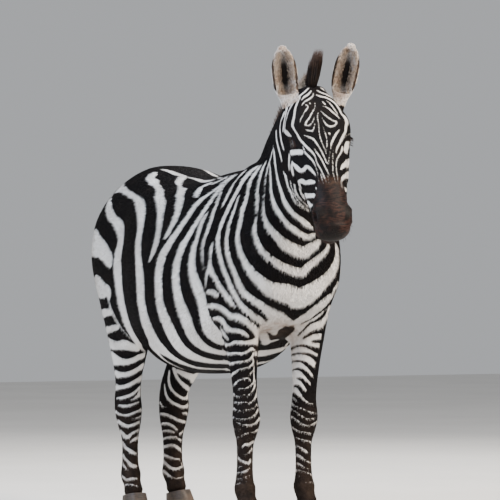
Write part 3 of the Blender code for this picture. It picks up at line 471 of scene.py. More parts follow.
def ear(name):
    """A cup of hair and skin: a swept leaf shape with its front hollowed out."""
    foot, axis, length, opening, across = ear_lines(name)
    shape = [
        (-0.28, 0.44),
        (-0.05, 0.58),
        (0.12, 0.84),
        (0.32, 0.98),
        (0.52, 1.00),
        (0.70, 0.90),
        (0.86, 0.66),
        (0.96, 0.36),
    ]
    outer = []
    inner = []
    for share, width in shape:
        centre = foot + axis * (share * length)
        half = EAR_HALF_WIDTH * width
        depth = 0.016 + 0.020 * width * (1 - share)
        outer.append((*(centre - opening * 0.004), *opening, half, depth * 0.55, depth))
        if 0.0 <= share < 0.9:
            hollow = half - EAR_WALL
            inner.append((*(centre + opening * 0.012), *opening, hollow, 0.05, max(depth, 0.01)))
    return [
        ("add", sweep(outer, across, (0.03, 0.012)), 0.02),
        ("carve", sweep(inner, across, (0.012, 0.010)), 0.003),
    ]


def tail():
    rows = [(x, y, z, 0, 1, 0.3, r, r, r) for x, y, z, r in TAIL]
    return sweep(rows, (1, 0, 0), (0.03, 0.008))


def body_parts():
    parts = [("add", torso(), 0.02), ("add", neck(), NECK_BLEND)]
    parts += [("add", leg.limb(), 0.06) for leg in legs()]
    for side in SIDES.values():
        parts += muscles(side)
    parts += [hock(leg) for leg in legs() if leg.table is HIND_LEG]
    parts.append(("add", tail(), 0.02))
    return parts


def head_parts():
    parts = [("add", head_core(), 0.06)] + lips()
    for name, side in SIDES.items():
        parts += face(side) + ear(name)
    return parts


def settle_corners(values):
    """Turns the weakest corner of each square of the grid whose corners alternate between inside and
    outside, as two sheets of skin would share an edge there."""
    for _ in range(3):
        for p, q in ((0, 1), (0, 2), (1, 2)):
            ways = np.eye(3, dtype=int)[[p, q]]
            ring = [(0, 0), (1, 0), (1, 1), (0, 1)]
            corners = []
            for i, j in ring:
                part = [slice(None)] * 3
                part[p] = slice(i, values.shape[p] - 1 + i)
                part[q] = slice(j, values.shape[q] - 1 + j)
                corners.append(values[tuple(part)] < 0)
            a, b, c, d = corners
            for spot in np.argwhere((a == c) & (b == d) & (a != b)):
                square = [tuple(spot + i * ways[0] + j * ways[1]) for i, j in ring]
                weakest = min(square, key=lambda s: abs(values[s]))
                values[weakest] = -values[weakest]


def cell_surface(field, low, high, cell):
    """Points and four-sided faces of the field's zero surface inside a box. Only cells near the
    surface are read finely."""
    block = 4
    low = np.array(low, float)
    blocks = np.ceil((np.array(high) - low) / (cell * block)).astype(int)
    centres = np.stack(np.meshgrid(*[np.arange(n) for n in blocks], indexing="ij"), -1).reshape(-1, 3)
    coarse = field(low + (centres + 0.5) * cell * block)
    count = blocks * block + 1
    values = np.ones(count)
    sign = np.where(coarse < 0, -1.0, 1.0).reshape(blocks)
    values[:-1, :-1, :-1] = sign.repeat(block, 0).repeat(block, 1).repeat(block, 2)
    wanted = np.zeros(count, bool)
    steps = np.arange(block + 1)
    for i, j, k in centres[np.abs(coarse) < cell * block * 1.3]:
        at = np.ix_(i * block + steps, j * block + steps, k * block + steps)
        wanted[at] = True
    index = np.argwhere(wanted)
    values[wanted] = field(low + index * cell)
    settle_corners(values)

    corners = np.stack(np.meshgrid([0, 1], [0, 1], [0, 1], indexing="ij"), -1).reshape(-1, 3)
    shape = count - 1
    inside = sum(
        (values[a : a + shape[0], b : b + shape[1], c : c + shape[2]] < 0).astype(int) for a, b, c in corners
    )
    crossed = np.argwhere((inside > 0) & (inside < 8))
    number = np.full(shape, -1)
    number[tuple(crossed.T)] = np.arange(len(crossed))
    total = np.zeros((len(crossed), 3))
    hits = np.zeros(len(crossed))
    for axis in range(3):
        ahead = np.eye(3, dtype=int)[axis]
        for corner in corners[corners[:, axis] == 0]:
            first = crossed + corner
            a = values[tuple(first.T)]
            b = values[tuple((first + ahead).T)]
            cut = (a < 0) != (b < 0)
            share = np.where(cut, a / np.where(cut, a - b, 1), 0)
            total += np.where(cut[:, None], corner + share[:, None] * ahead, 0)
            hits += cut
    points = low + (crossed + total / hits[:, None]) * cell

    faces = []
    for axis in range(3):
        ahead = np.eye(3, dtype=int)[axis]
        b_way, c_way = np.eye(3, dtype=int)[[(axis + 1) % 3, (axis + 2) % 3]]
        a = values[: count[0] - ahead[0], : count[1] - ahead[1], : count[2] - ahead[2]]
        b = values[ahead[0] :, ahead[1] :, ahead[2] :]
        edge = np.argwhere((a < 0) != (b < 0))
        edge = edge[((edge - b_way - c_way >= 0) & (edge < shape)).all(1)]
        ring = [number[tuple((edge - s * b_way - t * c_way).T)] for s, t in [(0, 0), (1, 0), (1, 1), (0, 1)]]
        ring = np.stack(ring, 1)
        outward = values[tuple(edge.T)] < 0
        ring[~outward] = ring[~outward][:, ::-1]
        faces.append(ring)
    return points, np.concatenate(faces)


def on_surface(field, points, rounds=2):
    """Points moved on to the field's zero surface."""
    step = 0.0008
    for _ in range(rounds):
        value = field(points)
        slope = np.stack([field(points + step * way) - value for way in np.eye(3)], 1) / step
        size = (slope**2).sum(1)
        points = points - np.clip(value / np.maximum(size, 0.25), -0.004, 0.004)[:, None] * slope
    return points


def placed(name, data):
    """A new object with this data, in the scene."""
    piece = bpy.data.objects.new(name, data)
    bpy.context.collection.objects.link(piece)
    return piece


def bmesh_object(name, bm):
    mesh = bpy.data.meshes.new(name)
    bm.to_mesh(mesh)
    bm.free()
    return placed(name, mesh)


def face_out(bm):
    """Turns the faces of a closed mesh outwards."""
    bmesh.ops.recalc_face_normals(bm, faces=bm.faces)
    if bm.calc_volume(signed=True) < 0:
        bmesh.ops.reverse_faces(bm, faces=bm.faces)


def cut_away(piece, cutter):
    """Takes the cutter out of the piece, and deletes it."""
    boolean = piece.modifiers.new("boolean", "BOOLEAN")
    boolean.operation = "DIFFERENCE"
    boolean.solver = "MANIFOLD"
    boolean.object = cutter
    shaped = piece.evaluated_get(bpy.context.evaluated_depsgraph_get())
    mesh = bpy.data.meshes.new_from_object(shaped)
    piece.modifiers.clear()
    piece.data = mesh
    bpy.data.objects.remove(cutter, do_unlink=True)


def slanted(joint, normal_y):
    """The middle of a joint given by its two ends in Y and Z, and its normal."""
    top = Vector((0, *joint[0]))
    low = Vector((0, *joint[1]))
    normal = Vector((1, 0, 0)).cross(top - low).normalized()
    if normal.y * normal_y < 0:
        normal.negate()
    return (top + low) / 2, normal


def beyond(field, point, normal, reach):
    """A field cut off by a plane, a little past a joint."""
    point = np.array(point)
    normal = np.array(normal)

    def cut(p):
        return np.maximum(field(p), (p - point) @ normal - reach)

    return cut


def eyeball(name, side, radius):
    bm = bmesh.new()
    bmesh.ops.create_icosphere(bm, subdivisions=3, radius=radius)
    bmesh.ops.translate(bm, verts=bm.verts, vec=on_head(*eye_at(side)))
    return bmesh_object(name, bm)


def eye_opening(side):
    """The almond between the lids, its length slanted down towards the nose."""
    bm = bmesh.new()
    bmesh.ops.create_icosphere(bm, subdivisions=3, radius=1.0)
    slant = Matrix.Rotation(EYE_SLANT, 3, "X")
    for vertex in bm.verts:
        local = slant @ Vector([c * r for c, r in zip(vertex.co, EYE_OPENING)])
        vertex.co = on_head(*(local + Vector(eye_at(side, OPENING_OUT))))
    face_out(bm)
    return bmesh_object("opening", bm)


def skin_point(field, start, way, reach=0.16):
    """The outermost point of the skin on a line from outside towards -way."""
    steps = np.linspace(reach, -reach, 400)
    line = np.array(start)[None] + steps[:, None] * np.array(way)[None]
    values = field(line)
    first = int(np.argmax(values < 0))
    share = values[first - 1] / (values[first - 1] - values[first])
    return Vector(line[first - 1] + share * (line[first] - line[first - 1]))


def crest(whole, share):
    """A point of the skin on the crest of the neck, the way its hair stands, and the way to the poll.
    share is 0 at the withers and 1 at the poll."""
    at = np.linspace(0, 1, len(NECK) + 1)
    ends = [(shift, *top) for top, _, shift, _ in NECK] + [tuple(on_head(0, 0.0, -0.01))]
    curve = [smooth_through(at, column) for column in zip(*ends)]
    here = Vector([float(c(share)) for c in curve])
    onward = Vector([float(c(share + 0.02) - c(share - 0.02)) for c in curve]).normalized()
    up = Vector((1, 0, 0)).cross(onward).normalized()
    if up.z < 0:
        up.negate()
    return skin_point(whole, here, up), up, onward


def loft(name, rings):
    """A closed skin over rings of as many points each, its two ends flat."""
    bm = bmesh.new()
    rows = [[bm.verts.new(p) for p in ring] for ring in rings]
    count = len(rows[0])
    for a, b in zip(rows, rows[1:]):
        for i in range(count):
            bm.faces.new((a[i], a[(i + 1) % count], b[(i + 1) % count], b[i]))
    bm.faces.new(rows[0][::-1])
    bm.faces.new(rows[-1])
    face_out(bm)
    bmesh.ops.triangulate(bm, faces=bm.faces)
    return bmesh_object(name, bm)


# The camera stands level, turned this far from straight in front of the animal. FOCUS is its focal
# length in pixels of the photograph.
VIEW_TURN = math.radians(28)
VIEW_DISTANCE = 14.0
VIEW_LEVEL = 0.966
VIEW_SIDESTEP = -0.0406
FOCUS = 3984.0
PHOTO_SIZE = 500
TO_RIGHT = np.array((math.cos(VIEW_TURN), -math.sin(VIEW_TURN), 0.0))
AWAY = np.array((math.sin(VIEW_TURN), math.cos(VIEW_TURN), 0.0))
EYEPOINT = VIEW_SIDESTEP * TO_RIGHT - VIEW_DISTANCE * AWAY + np.array((0, 0, VIEW_LEVEL))

# Depth of the coat over the skin, then the cells and boxes that body and head are read in, the head's
# in its own axes, and the gap between eye and socket.
BODY_COAT = 0.0035
FACE_COAT = 0.0012
EAR_COAT = 0.0003
BODY_CELL = 0.0052
HEAD_CELL = 0.0034
BODY_BOX = ((-0.36, -0.60, 0.02), (0.36, 1.10, 1.60))
HEAD_BOX = ((-0.17, 0.17), (-0.20, 0.56), (-0.28, 0.08))
SOCKET_GAP = 0.00045
# A stripe's distance is kept this far either side of its edge.
FADE = 0.014
# Distances from the camera at which a line that passes by the skin is held against it.
PASSING = (13.1, 15.2, 0.05)
# Width of the strokes against the half widths that are written down.
STROKE_SCALE = 0.85
# How far strokes that start at the rump's outline go on round it, and in what steps.
WRAP = 0.26
WRAP_STEP = 0.004
# A stroke's half width on the skin, against the one that it has across the line of sight.
MOST_SPREAD = 2.4
LEAST_SPREAD = 0.8
# Balls of a stroke stand at most this far apart. A longer gap than JUMP is left open.
BALL_SPACING = 0.003
JUMP = 0.12


def smooth(value, start, end):
    t = np.clip((value - start) / (end - start), 0, 1)
    return t * t * (3 - 2 * t)


# A point on the joint of head and neck and the way ahead through it, the head's axes as an array, and
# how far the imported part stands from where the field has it.
HEAD_POINT, HEAD_WAY = (np.array(v) for v in slanted(HEAD_JOINT, -1))
HEAD_FRAME = np.array(HEAD_AXES)
SHIFT = (sum(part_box("eye_left"), Vector()) / 2) - on_head(*EYE_AT)


def in_head(points):
    """Places in the head's own axes."""
    return (points - np.array(POLL)) @ HEAD_FRAME


def ahead_of_joint(points):
    return (points - HEAD_POINT) @ HEAD_WAY


def coat_depth(points):
    local = in_head(points)
    head = smooth(ahead_of_joint(points), -0.05, 0.05)
    ears = smooth(local[:, 1], -0.004, -0.03) * smooth(local[:, 2], -0.11, -0.08) * head
    depth = BODY_COAT + (FACE_COAT - BODY_COAT) * head
    return depth + (EAR_COAT - depth) * ears


def skin_field(whole):
    """The field of the skin, which lies the coat's depth inside the flesh."""

    def field(p):
        return whole(p) + coat_depth(p)

    return field


def open_surface(name, field, low, high, cell, point, normal):
    """The skin on one side of the plane between body and head, open at that plane."""
    points, quads = cell_surface(beyond(field, point, normal, 0.02), low, high, cell)
    mesh = bpy.data.meshes.new(name)
    mesh.from_pydata(on_surface(field, points).tolist(), [], quads.tolist())
    mesh.validate()
    bm = bmesh.new()
    bm.from_mesh(mesh)
    whole = bm.verts[:] + bm.edges[:] + bm.faces[:]
    bmesh.ops.bisect_plane(
        bm, geom=whole, dist=1e-6, plane_co=point, plane_no=normal, clear_outer=True
    )
    return bm


def skin_mesh(field):
    """Body and head, each read on its own grid, joined in a ring at the top of the neck."""
    gap = 0.002 * HEAD_WAY
    body = open_surface("body", field, *BODY_BOX, BODY_CELL, HEAD_POINT - gap, HEAD_WAY)
    across, down, out = HEAD_BOX
    corners = np.array([on_head(x, y, z) for x in across for y in down for z in out])
    low, high = corners.min(0), corners.max(0)
    head = open_surface("head", field, low, high, HEAD_CELL, HEAD_POINT + gap, -HEAD_WAY)
    other = bpy.data.meshes.new("head")
    head.to_mesh(other)
    head.free()
    body.from_mesh(other)
    rims = [e for e in body.edges if e.is_boundary]
    bmesh.ops.bridge_loops(body, edges=rims)
    face_out(body)
    bmesh.ops.triangulate(body, faces=body.faces)
    return bmesh_object("skin", body)


def open_face(skin, whole):
    """Cuts the mouth, the eye openings and the sockets."""
    cutters = [mouth_slit(whole)]
    for side in SIDES.values():
        cutters += [eye_opening(side), eyeball("socket", side, EYE_RADIUS + SOCKET_GAP)]
    for cutter in cutters:
        cut_away(skin, cutter)
    bm = bmesh.new()
    bm.from_mesh(skin.data)
    bmesh.ops.triangulate(bm, faces=bm.faces)
    bm.to_mesh(skin.data)
    bm.free()


# ---- Stripes ----


def strokes(text):
    """Lists of (x, y, half width) in pixels. A semicolon parts one stroke from the next."""
    return [[tuple(float(n) for n in spot.split(",")) for spot in line.split()] for line in text.split(";")]


def through(spots, spacing=1.5):
    """A smooth line through a stroke's spots."""
    spots = np.array(spots, float)
    run = np.concatenate([[0], np.cumsum(np.linalg.norm(np.diff(spots[:, :2], axis=0), axis=1))])
    fine = np.linspace(0, run[-1], max(3, int(run[-1] / spacing) + 1))
    return np.stack([smooth_through(run, column)(fine) for column in spots.T], 1)


def sight(x, y):
    """The way from the camera through a pixel."""
    half = PHOTO_SIZE / 2
    way = AWAY * FOCUS + TO_RIGHT * (x - half) + np.array((0, 0, half - y))
    return Vector(way / np.linalg.norm(way))


def thrown(tree, x, y):
    """Where a pixel falls on the skin, or the skin nearest to its line."""
    way = sight(x, y)
    start = Vector(EYEPOINT)
    hit = tree.ray_cast(start, way)[0]
    if hit is None:
        beside = [tree.find_nearest(start + way * reach) for reach in np.arange(*PASSING)]
        hit = min(beside, key=lambda found: found[3])[0]
    return hit


def brushed(tree, line, wrap):
    """One stroke as points and radii on the skin. With wrap it also goes on past its start, round the
    side of the body that the camera doesn't see, as far as the middle."""
    fine = through(line)
    start = Vector(EYEPOINT)
    if wrap:
        hits = [tree.ray_cast(start, sight(x, y))[0] is not None for x, y, _ in fine]
        fine = fine[hits.index(True):]
    heading = unit(np.gradient(fine[:, :2], axis=0), 1e-9)
    made = []
    for (x, y, half), (u, v) in zip(fine, heading):
        half *= STROKE_SCALE
        middle = thrown(tree, x, y)
        plain = half * (middle - start).length / FOCUS
        sides = []
        for s in (-1, 1):
            gap = thrown(tree, x - s * v * half, y + s * u * half) - middle
            reach = min(gap.length, MOST_SPREAD * plain)
            sides.append(middle + gap.normalized() * reach)
        centre = (sides[0] + sides[1]) / 2
        made.append((*centre, max((sides[0] - sides[1]).length / 2, LEAST_SPREAD * plain)))
    made = np.array(made)
    if wrap:
        here = Vector(made[0, :3])
        way = (here - Vector(made[min(4, len(made) - 1), :3])).normalized()
        extra = []
        for i in range(int(WRAP / WRAP_STEP)):
            onward, normal = tree.find_nearest(here + way * WRAP_STEP)[:2]
            way = (onward - here).normalized()
            way = (way - way.dot(normal) * normal).normalized()
            here = onward
            extra.append((*here, made[0, 3] * (1 - 0.5 * i * WRAP_STEP / WRAP)))
            if here.x > 0:
                break
        made = np.concatenate([np.array(extra)[::-1], made])
    dense = [made[:1]]
    for a, b in zip(made, made[1:]):
        count = max(1, int(np.ceil(np.linalg.norm(b[:3] - a[:3]) / BALL_SPACING)))
        if np.linalg.norm(b[:3] - a[:3]) < JUMP:
            dense.append(a + (b - a) * np.linspace(1 / count, 1, count)[:, None])
    return np.concatenate(dense)


def brush_group(tree, *texts, wrap=False):
    return np.concatenate([brushed(tree, line, wrap) for text in texts for line in strokes(text)])


def point_tree(points):
    tree = KDTree(len(points))
    for i, p in enumerate(points.tolist()):
        tree.insert(p, i)
    tree.balance()
    return tree


def covered(points, brush):
    """How far each point is inside the brush's strokes, below 0 outside."""
    value = np.full(len(points), -FADE)
    tree = point_tree(points)
    for x, y, z, radius in brush.tolist():
        for _, i, distance in tree.find_range((x, y, z), radius + FADE):
            if radius - distance > value[i]:
                value[i] = radius - distance
    return np.minimum(value, FADE)


def striped(points, white, dark=None):
    """Signed distance to the edge of the white, above 0 on white."""
    value = covered(points, white)
    return value if dark is None else np.minimum(value, -covered(points, dark))


def leg_middle(points):
    """The middle of the nearest leg at each point's height, in X and Y."""
    middle = np.zeros((len(points), 2))
    for leg in legs():
        rows = sorted(leg.table)
        heights = [row[0] for row in rows]
        places = [leg.place(row[1], row[2], row[0]) for row in rows]
        mine = ((points[:, 1] > 0.3) == (leg.table is HIND_LEG)) & (points[:, 0] * leg.side > 0)
        for axis in range(2):
            middle[mine, axis] = np.interp(points[mine, 2], heights, [p[axis] for p in places])
    return middle


def part_weights(points):
    """0 to 1 for each point: how far it belongs to the head, and to a leg."""
    head = smooth(ahead_of_joint(points), -0.03, 0.05)
    top = np.where(points[:, 1] > 0.3, 0.72, 0.74)
    leg = smooth(points[:, 2], top, top - 0.13)
    return head, leg


def on_hind_left(points):
    return (points[:, 0] > 0) & (points[:, 1] > 0.45) & (points[:, 2] < 0.66)


def stripe_distance(points, normals, trees):
    """Direct strokes where the camera sees the skin. Elsewhere the body and head repeat their other
    side, and the legs close their rings round the back."""
    rest_tree, hind_tree, head_tree = trees
    dark = brush_group(rest_tree, FORE_LEFT_DARK)
    seen_white = TRUNK_WHITE, FORE_RIGHT_WHITE, FORE_LEFT_WHITE, HIND_RIGHT_WHITE, FACE_WHITE
    rump = brush_group(rest_tree, RUMP_WHITE, wrap=True)
    body = np.concatenate([brush_group(rest_tree, *seen_white), rump])
    hind = brush_group(hind_tree, HIND_LEFT_WHITE)
    face = brush_group(head_tree, FACE_WHITE)

    head, leg = part_weights(points)
    seen = smooth(-(normals @ AWAY), -0.02, 0.20)
    hind_left = on_hind_left(points)
    seen[(points[:, 0] > 0) & (points[:, 1] > 0.45) & (points[:, 2] >= 0.60)] = 0
    result = np.full(len(points), -FADE)

    off_head = head <= 0.5
    direct = np.full(len(points), -FADE)
    part = off_head & ~hind_left
    direct[part] = striped(points[part], body, dark)
    direct[hind_left] = striped(points[hind_left], hind)

    stride = np.where(points[:, 1] > 0.3, HIND_STRIDE["left"] - HIND_STRIDE["right"], FORE_STRIDE["left"])
    low = np.clip((STRIDE_TOP - points[:, 2]) / (STRIDE_TOP - STRIDE_BOTTOM), 0, 1)
    mirrored = points.copy()
    left = points[:, 0] > 0
    mirrored[left, 0] *= -1
    mirrored[left, 1] -= (stride * low)[left]
    other = np.full(len(points), -FADE)
    part = off_head & (seen < 1) & (leg < 1)
    other[part] = striped(mirrored[part], body)

    middle = leg_middle(points)
    behind = np.maximum((points[:, :2] - middle) @ AWAY[:2], 0)
    reflected = points.copy()
    reflected[:, :2] -= 2 * behind[:, None] * AWAY[:2]
    ring = np.full(len(points), -FADE)
    part = off_head & (seen < 1) & (leg > 0)
    for own, tree in ((~hind_left, rest_tree), (hind_left, hind_tree)):
        chosen = np.flatnonzero(part & own)
        reflected[chosen] = [tree.find_nearest(place)[0] for place in reflected[chosen].tolist()]
    ring[part & ~hind_left] = striped(reflected[part & ~hind_left], body, dark)
    ring[part & hind_left] = striped(reflected[part & hind_left], hind)
    hidden = other * (1 - leg) + ring * leg
    part = off_head
    result[part] = (hidden * (1 - seen) + direct * seen)[part]

    local = in_head(points)
    flipped = local.copy()
    flipped[:, 0] = -np.abs(local[:, 0])
    flipped = flipped @ HEAD_FRAME.T + np.array(POLL)
    part = head > 0
    both = np.concatenate([face, body])
    front = striped(points[part], both)
    back = striped(flipped[part], both)
    on_face = back * (1 - seen[part]) + front * seen[part]
    result[part] = result[part] * (1 - head[part]) + on_face * head[part]
    return result


def ear_frame(name):
    return tuple(np.array(v) for v in ear_lines(name))


def on_ears(points):
    """For each point: 0 to 1 on an ear, share of the way to its tip, and how far across."""
    on = np.zeros(len(points))
    share = np.zeros(len(points))
    across = np.zeros(len(points))
    local = in_head(points)
    for name, side in SIDES.items():
        foot, axis, length, opening, sideways = ear_frame(name)
        relative = points - foot
        t = relative @ axis / length
        wide = relative @ sideways
        deep = relative @ opening
        girth = np.where(t > 0.05, 0.055, 0.038)
        near = (np.abs(wide) < girth) & (np.abs(deep) < girth) & (t > -0.34) & (t < 1.2)
        near &= (local[:, 1] < 0.04) & (local[:, 0] * side > 0.05)
        on[near] = smooth(t[near], -0.33, -0.18)
        share[near] = t[near]
        across[near] = wide[near]
    return on, share, across


def opening_reach(local, side, margin=0.0):
    """How far places in the head's own axes are from the middle of an eye's opening, 1 at its edge."""
    slant = np.array(Matrix.Rotation(EYE_SLANT, 3, "X"))
    off = (local - np.array(eye_at(side, OPENING_OUT))) @ slant
    return np.linalg.norm(off / (np.array(EYE_OPENING) + margin), axis=-1)


# Where the bare muzzle starts down the face, the ear's dark rim, the tail's start and bars, and the
# middle of the chest between the forelegs, which is browned with painted shade.
MUZZLE_EDGE = 0.351
EAR_RIM = 0.0385
TAIL_STARTS = 0.965
TAIL_BAR_SPACING = 0.052
CHEST_AT = (0.0, -0.12, 0.66)


def marks(points, normals, stripe):
    """The stripes as they change on ears, tail and belly, and for each point from 0 to 1: how bare it is, how
    warm with dust and with painted shade on the chest, how brown, and how dark with painted shade in the
    ears' hollows."""
    local = in_head(points)
    head, leg = part_weights(points)
    edge = MUZZLE_EDGE + np.minimum(2.4 * np.maximum(-(local[:, 2] + 0.030), 0), 0.085)
    cheek = np.minimum(3.0 * np.maximum(np.abs(local[:, 0]) - 0.042, 0), 0.05)
    edge = np.maximum(edge, MUZZLE_EDGE + cheek)
    bare = smooth(local[:, 1] - edge, -0.006, 0.010) * head
    for side in SIDES.values():
        near = np.linalg.norm(local - np.array(eye_at(side)), axis=1) < 0.040
        bare = np.maximum(bare, smooth(opening_reach(local, side, 0.0045), 1.22, 1.0) * near)
    on, share, across = on_ears(points)
    to_front = (normals * nearer_ear(points, 3)).sum(1)
    inside = on * smooth(to_front, 0.0, 0.35)
    back_bands = np.where((share > 0.58) & (share < 0.84), -0.006, 0.008)
    rim = smooth(np.abs(np.abs(across) - EAR_RIM), 0.0042, 0.0022)
    rim = rim * smooth(share, 0.10, 0.22) * smooth(share, 1.0, 0.9)
    ear_stripe = np.where(inside > 0.5, 0.0004, back_bands)
    ear_stripe = ear_stripe + (-0.005 - ear_stripe) * rim
    stripe = stripe * (1 - on) + ear_stripe * on
    on_tail = points[:, 1] > TAIL_STARTS
    bars = 0.006 * np.sin(points[:, 2] * 2 * math.pi / TAIL_BAR_SPACING) - 0.001
    bars -= 0.02 * smooth(0.010 - np.abs(points[:, 0]), 0.0, 0.006) * (points[:, 1] > 1.0)
    stripe = np.where(on_tail, bars, stripe)
    under = smooth(-normals[:, 2], 0.72, 0.96) * (1 - leg) * (1 - head)
    under *= smooth(points[:, 1], -0.02, 0.10) * smooth(points[:, 1], 0.70, 0.60)
    under *= smooth(np.abs(points[:, 0]), 0.012, 0.022)
    stripe = stripe + under * (0.006 - stripe) * 0.9
    warm = smooth(points[:, 2], 0.55, 0.10) * 0.55 + under * 0.35
    # Painted shade: low on the chest, between the forelegs, the coat is browned and darkened through the warm
    # share.
    chest = smooth(np.linalg.norm(points - np.array(CHEST_AT), axis=1), 0.16, 0.05)
    warm = np.clip(warm + 0.8 * chest, 0, 1)
    patch = smooth(local[:, 1], 0.332, 0.352) * smooth(local[:, 1], 0.39, 0.362)
    patch = patch * smooth(np.abs(local[:, 0]), 0.05, 0.02) * smooth(local[:, 2], -0.05, -0.02) * head
    # Painted shade: the hollow in the middle of each ear's cup, on its front, is coloured near black.
    cup = np.hypot(across / 0.025, (share - 0.46) / 0.42)
    black = on * smooth(to_front, -0.3, 0.1) * smooth(cup, 1.30, 0.40)
    warm = np.maximum(warm, on * inside)
    thin = 0.0012 + 0.0002 * leg - 0.0002 * head
    return stripe - thin * (1 - on), bare, warm, patch, black


def nearer_ear(points, which):
    """For each point one of the nearer ear's lines: 1 is its axis, and 3 the way that it opens."""
    right, left = (ear_frame(name)[which] for name in SIDES)
    return np.where(in_head(points)[:, :1] > 0, left, right)


# ---- Mesh with values ----


def triangle_mesh(name, points, triangles):
    mesh = bpy.data.meshes.new(name)
    mesh.vertices.add(len(points))
    mesh.vertices.foreach_set("co", np.ascontiguousarray(points, np.float32).ravel())
    mesh.loops.add(3 * len(triangles))
    mesh.loops.foreach_set("vertex_index", np.ascontiguousarray(triangles, np.int32).ravel())
    mesh.polygons.add(len(triangles))
    mesh.polygons.foreach_set("loop_start", np.arange(0, 3 * len(triangles), 3, dtype=np.int32))
    mesh.update(calc_edges=True)
    mesh.shade_smooth()
    return placed(name, mesh)


def set_values(piece, **values):
    for name, value in values.items():
        layer = piece.data.attributes.new(name, "FLOAT", "POINT")
        layer.data.foreach_set("value", np.ascontiguousarray(value, np.float32))


def set_bake_map(piece, per_vertex):
    """A UV map named OFBake from one place for each vertex."""
    corner = np.empty(len(piece.data.loops), np.int32)
    piece.data.loops.foreach_get("vertex_index", corner)
    layer = piece.data.uv_layers.new(name="OFBake")
    layer.data.foreach_set("uv", np.ascontiguousarray(per_vertex[corner], np.float32).ravel())


def read_mesh(piece):
    mesh = piece.data
    points = np.empty(3 * len(mesh.vertices))
    mesh.vertices.foreach_get("co", points)
    normals = np.empty(3 * len(mesh.vertices))
    mesh.vertices.foreach_get("normal", normals)
    corners = np.empty(len(mesh.loops), np.int32)
    mesh.loops.foreach_get("vertex_index", corners)
    return points.reshape(-1, 3), normals.reshape(-1, 3), corners.reshape(-1, 3)


def strands(name, root, tip, wide, width, thick, bow, rings, taper):
    """Closed three-sided hairs or tufts from their roots to their tips. Each ring is a share of the way
    and taper its width there. Returns the piece, the share along for each vertex and their number
    in each hair."""
    way = unit(tip - root)
    wide = unit(square_to(way, wide), 1e-9)
    deep = np.cross(way, wide)
    count = 3 * len(rings) + 1
    points = np.empty((len(root), count, 3))
    along = np.empty((len(root), count))
    for i, (share, size) in enumerate(zip(rings, taper)):
        centre = root + (tip - root) * share + bow * (4 * share * (1 - share))
        for j, (a, b) in enumerate([(-0.5, -0.3), (0.5, -0.3), (0.0, 0.7)]):
            points[:, 3 * i + j] = centre + size * (wide * (a * width)[:, None] + deep * (b * thick)[:, None])
            along[:, 3 * i + j] = share
    points[:, -1] = tip
    along[:, -1] = 1
    faces = [(0, 2, 1)]
    for i in range(len(rings) - 1):
        for j in range(3):
            a, b = 3 * i + j, 3 * i + (j + 1) % 3
            faces += [(a, b, b + 3), (a, b + 3, a + 3)]
    last = 3 * (len(rings) - 1)
    faces += [(last + j, last + (j + 1) % 3, count - 1) for j in range(3)]
    first = np.arange(len(root))[:, None, None] * count
    triangles = (np.array(faces)[None] + first).reshape(-1, 3)
    return triangle_mesh(name, points.reshape(-1, 3) + np.array(SHIFT), triangles), along.ravel(), count


# ---- Coat ----

# The most tufts in one piece.
COAT_PIECE = 49000
# Spacing, length, width and lift of the tufts on the body, the legs and the head.
BODY_TUFT = (0.0044, 0.0150, 0.0028, 0.0033)
LEG_TUFT = (0.0036, 0.0085, 0.0018, 0.0024)
HEAD_TUFT = (0.0026, 0.0058, 0.0012, 0.0013)
# Where the four points of a tuft lie on the bake map, around the place of its root.
TUFT_PATCH = [(-0.0015, 0), (0.0015, 0), (0, 0.0008), (0, 0.0015)]


def tuft_sizes(points):
    leg = part_weights(points)[1]
    body, limb, face = (np.array(t) for t in (BODY_TUFT, LEG_TUFT, HEAD_TUFT))
    size = body + (limb - body) * leg[:, None]
    throat = smooth(ahead_of_joint(points), -0.14, 0.03)
    return size + (face - size) * throat[:, None]


def lie_of_coat(points):
    """The way that the hair lies: back and down on the body, down on legs and face, up the ears."""
    head, leg = part_weights(points)
    body = np.array((0.0, 0.85, -0.50))
    neck = np.array((0.0, 0.60, -0.80))
    forward = smooth(points[:, 1], 0.15, -0.15)[:, None]
    way = body + (neck - body) * forward
    way = way * (1 - leg[:, None]) + np.array((0.0, 0.15, -1.0)) * leg[:, None]
    face = HEAD_FRAME[:, 1] - 0.35 * HEAD_WAY
    way = way * (1 - head[:, None]) + face * head[:, None]
    on = on_ears(points)[0]
    way = np.where(on[:, None] > 0.3, nearer_ear(points, 1), way)
    on_tail = (points[:, 1] > 0.95)[:, None]
    return np.where(on_tail, np.array((0.0, 0.1, -1.0)), way)


def unwrapped(points):
    """A place from 0 to 1 for each point: its angle round its part and how far along it lies."""
    head, leg = part_weights(points)
    local = in_head(points)
    on = on_ears(points)[0] > 0.3
    middle = leg_middle(points)
    cell = np.zeros(len(points), int)
    angle = np.arctan2(points[:, 0], points[:, 2] - 0.95)
    along = (points[:, 1] + 0.55) / 1.7
    limb = leg > 0.5
    angle[limb] = np.arctan2(points[limb, 0] - middle[limb, 0], points[limb, 1] - middle[limb, 1])
    along[limb] = points[limb, 2] / 0.75
    cell[limb] = 1 + (points[limb, 1] > 0.3) + 2 * (points[limb, 0] > 0)
    face = head > 0.5
    angle[face] = np.arctan2(local[face, 0], local[face, 2] + 0.08)
    along[face] = (local[face, 1] + 0.16) / 0.72
    cell[face] = 5
    angle[on] = np.arctan2(side_of_ear(local[on]), 1.0)
    along[on] = -local[on, 1] / 0.16
    cell[on] = 6 + (local[on, 0] > 0)
    u = angle / (2 * math.pi) + 0.5
    place = np.stack([np.clip(u, 0, 1), np.clip(along, 0, 1)], 1) * 0.32 + 0.006
    return place + np.stack([cell % 3, cell // 3], 1) / 3


def side_of_ear(local):
    """Side to side place on an ear, spread out."""
    return (np.abs(local[:, 0]) - 0.10) * 20 + local[:, 2] * 6


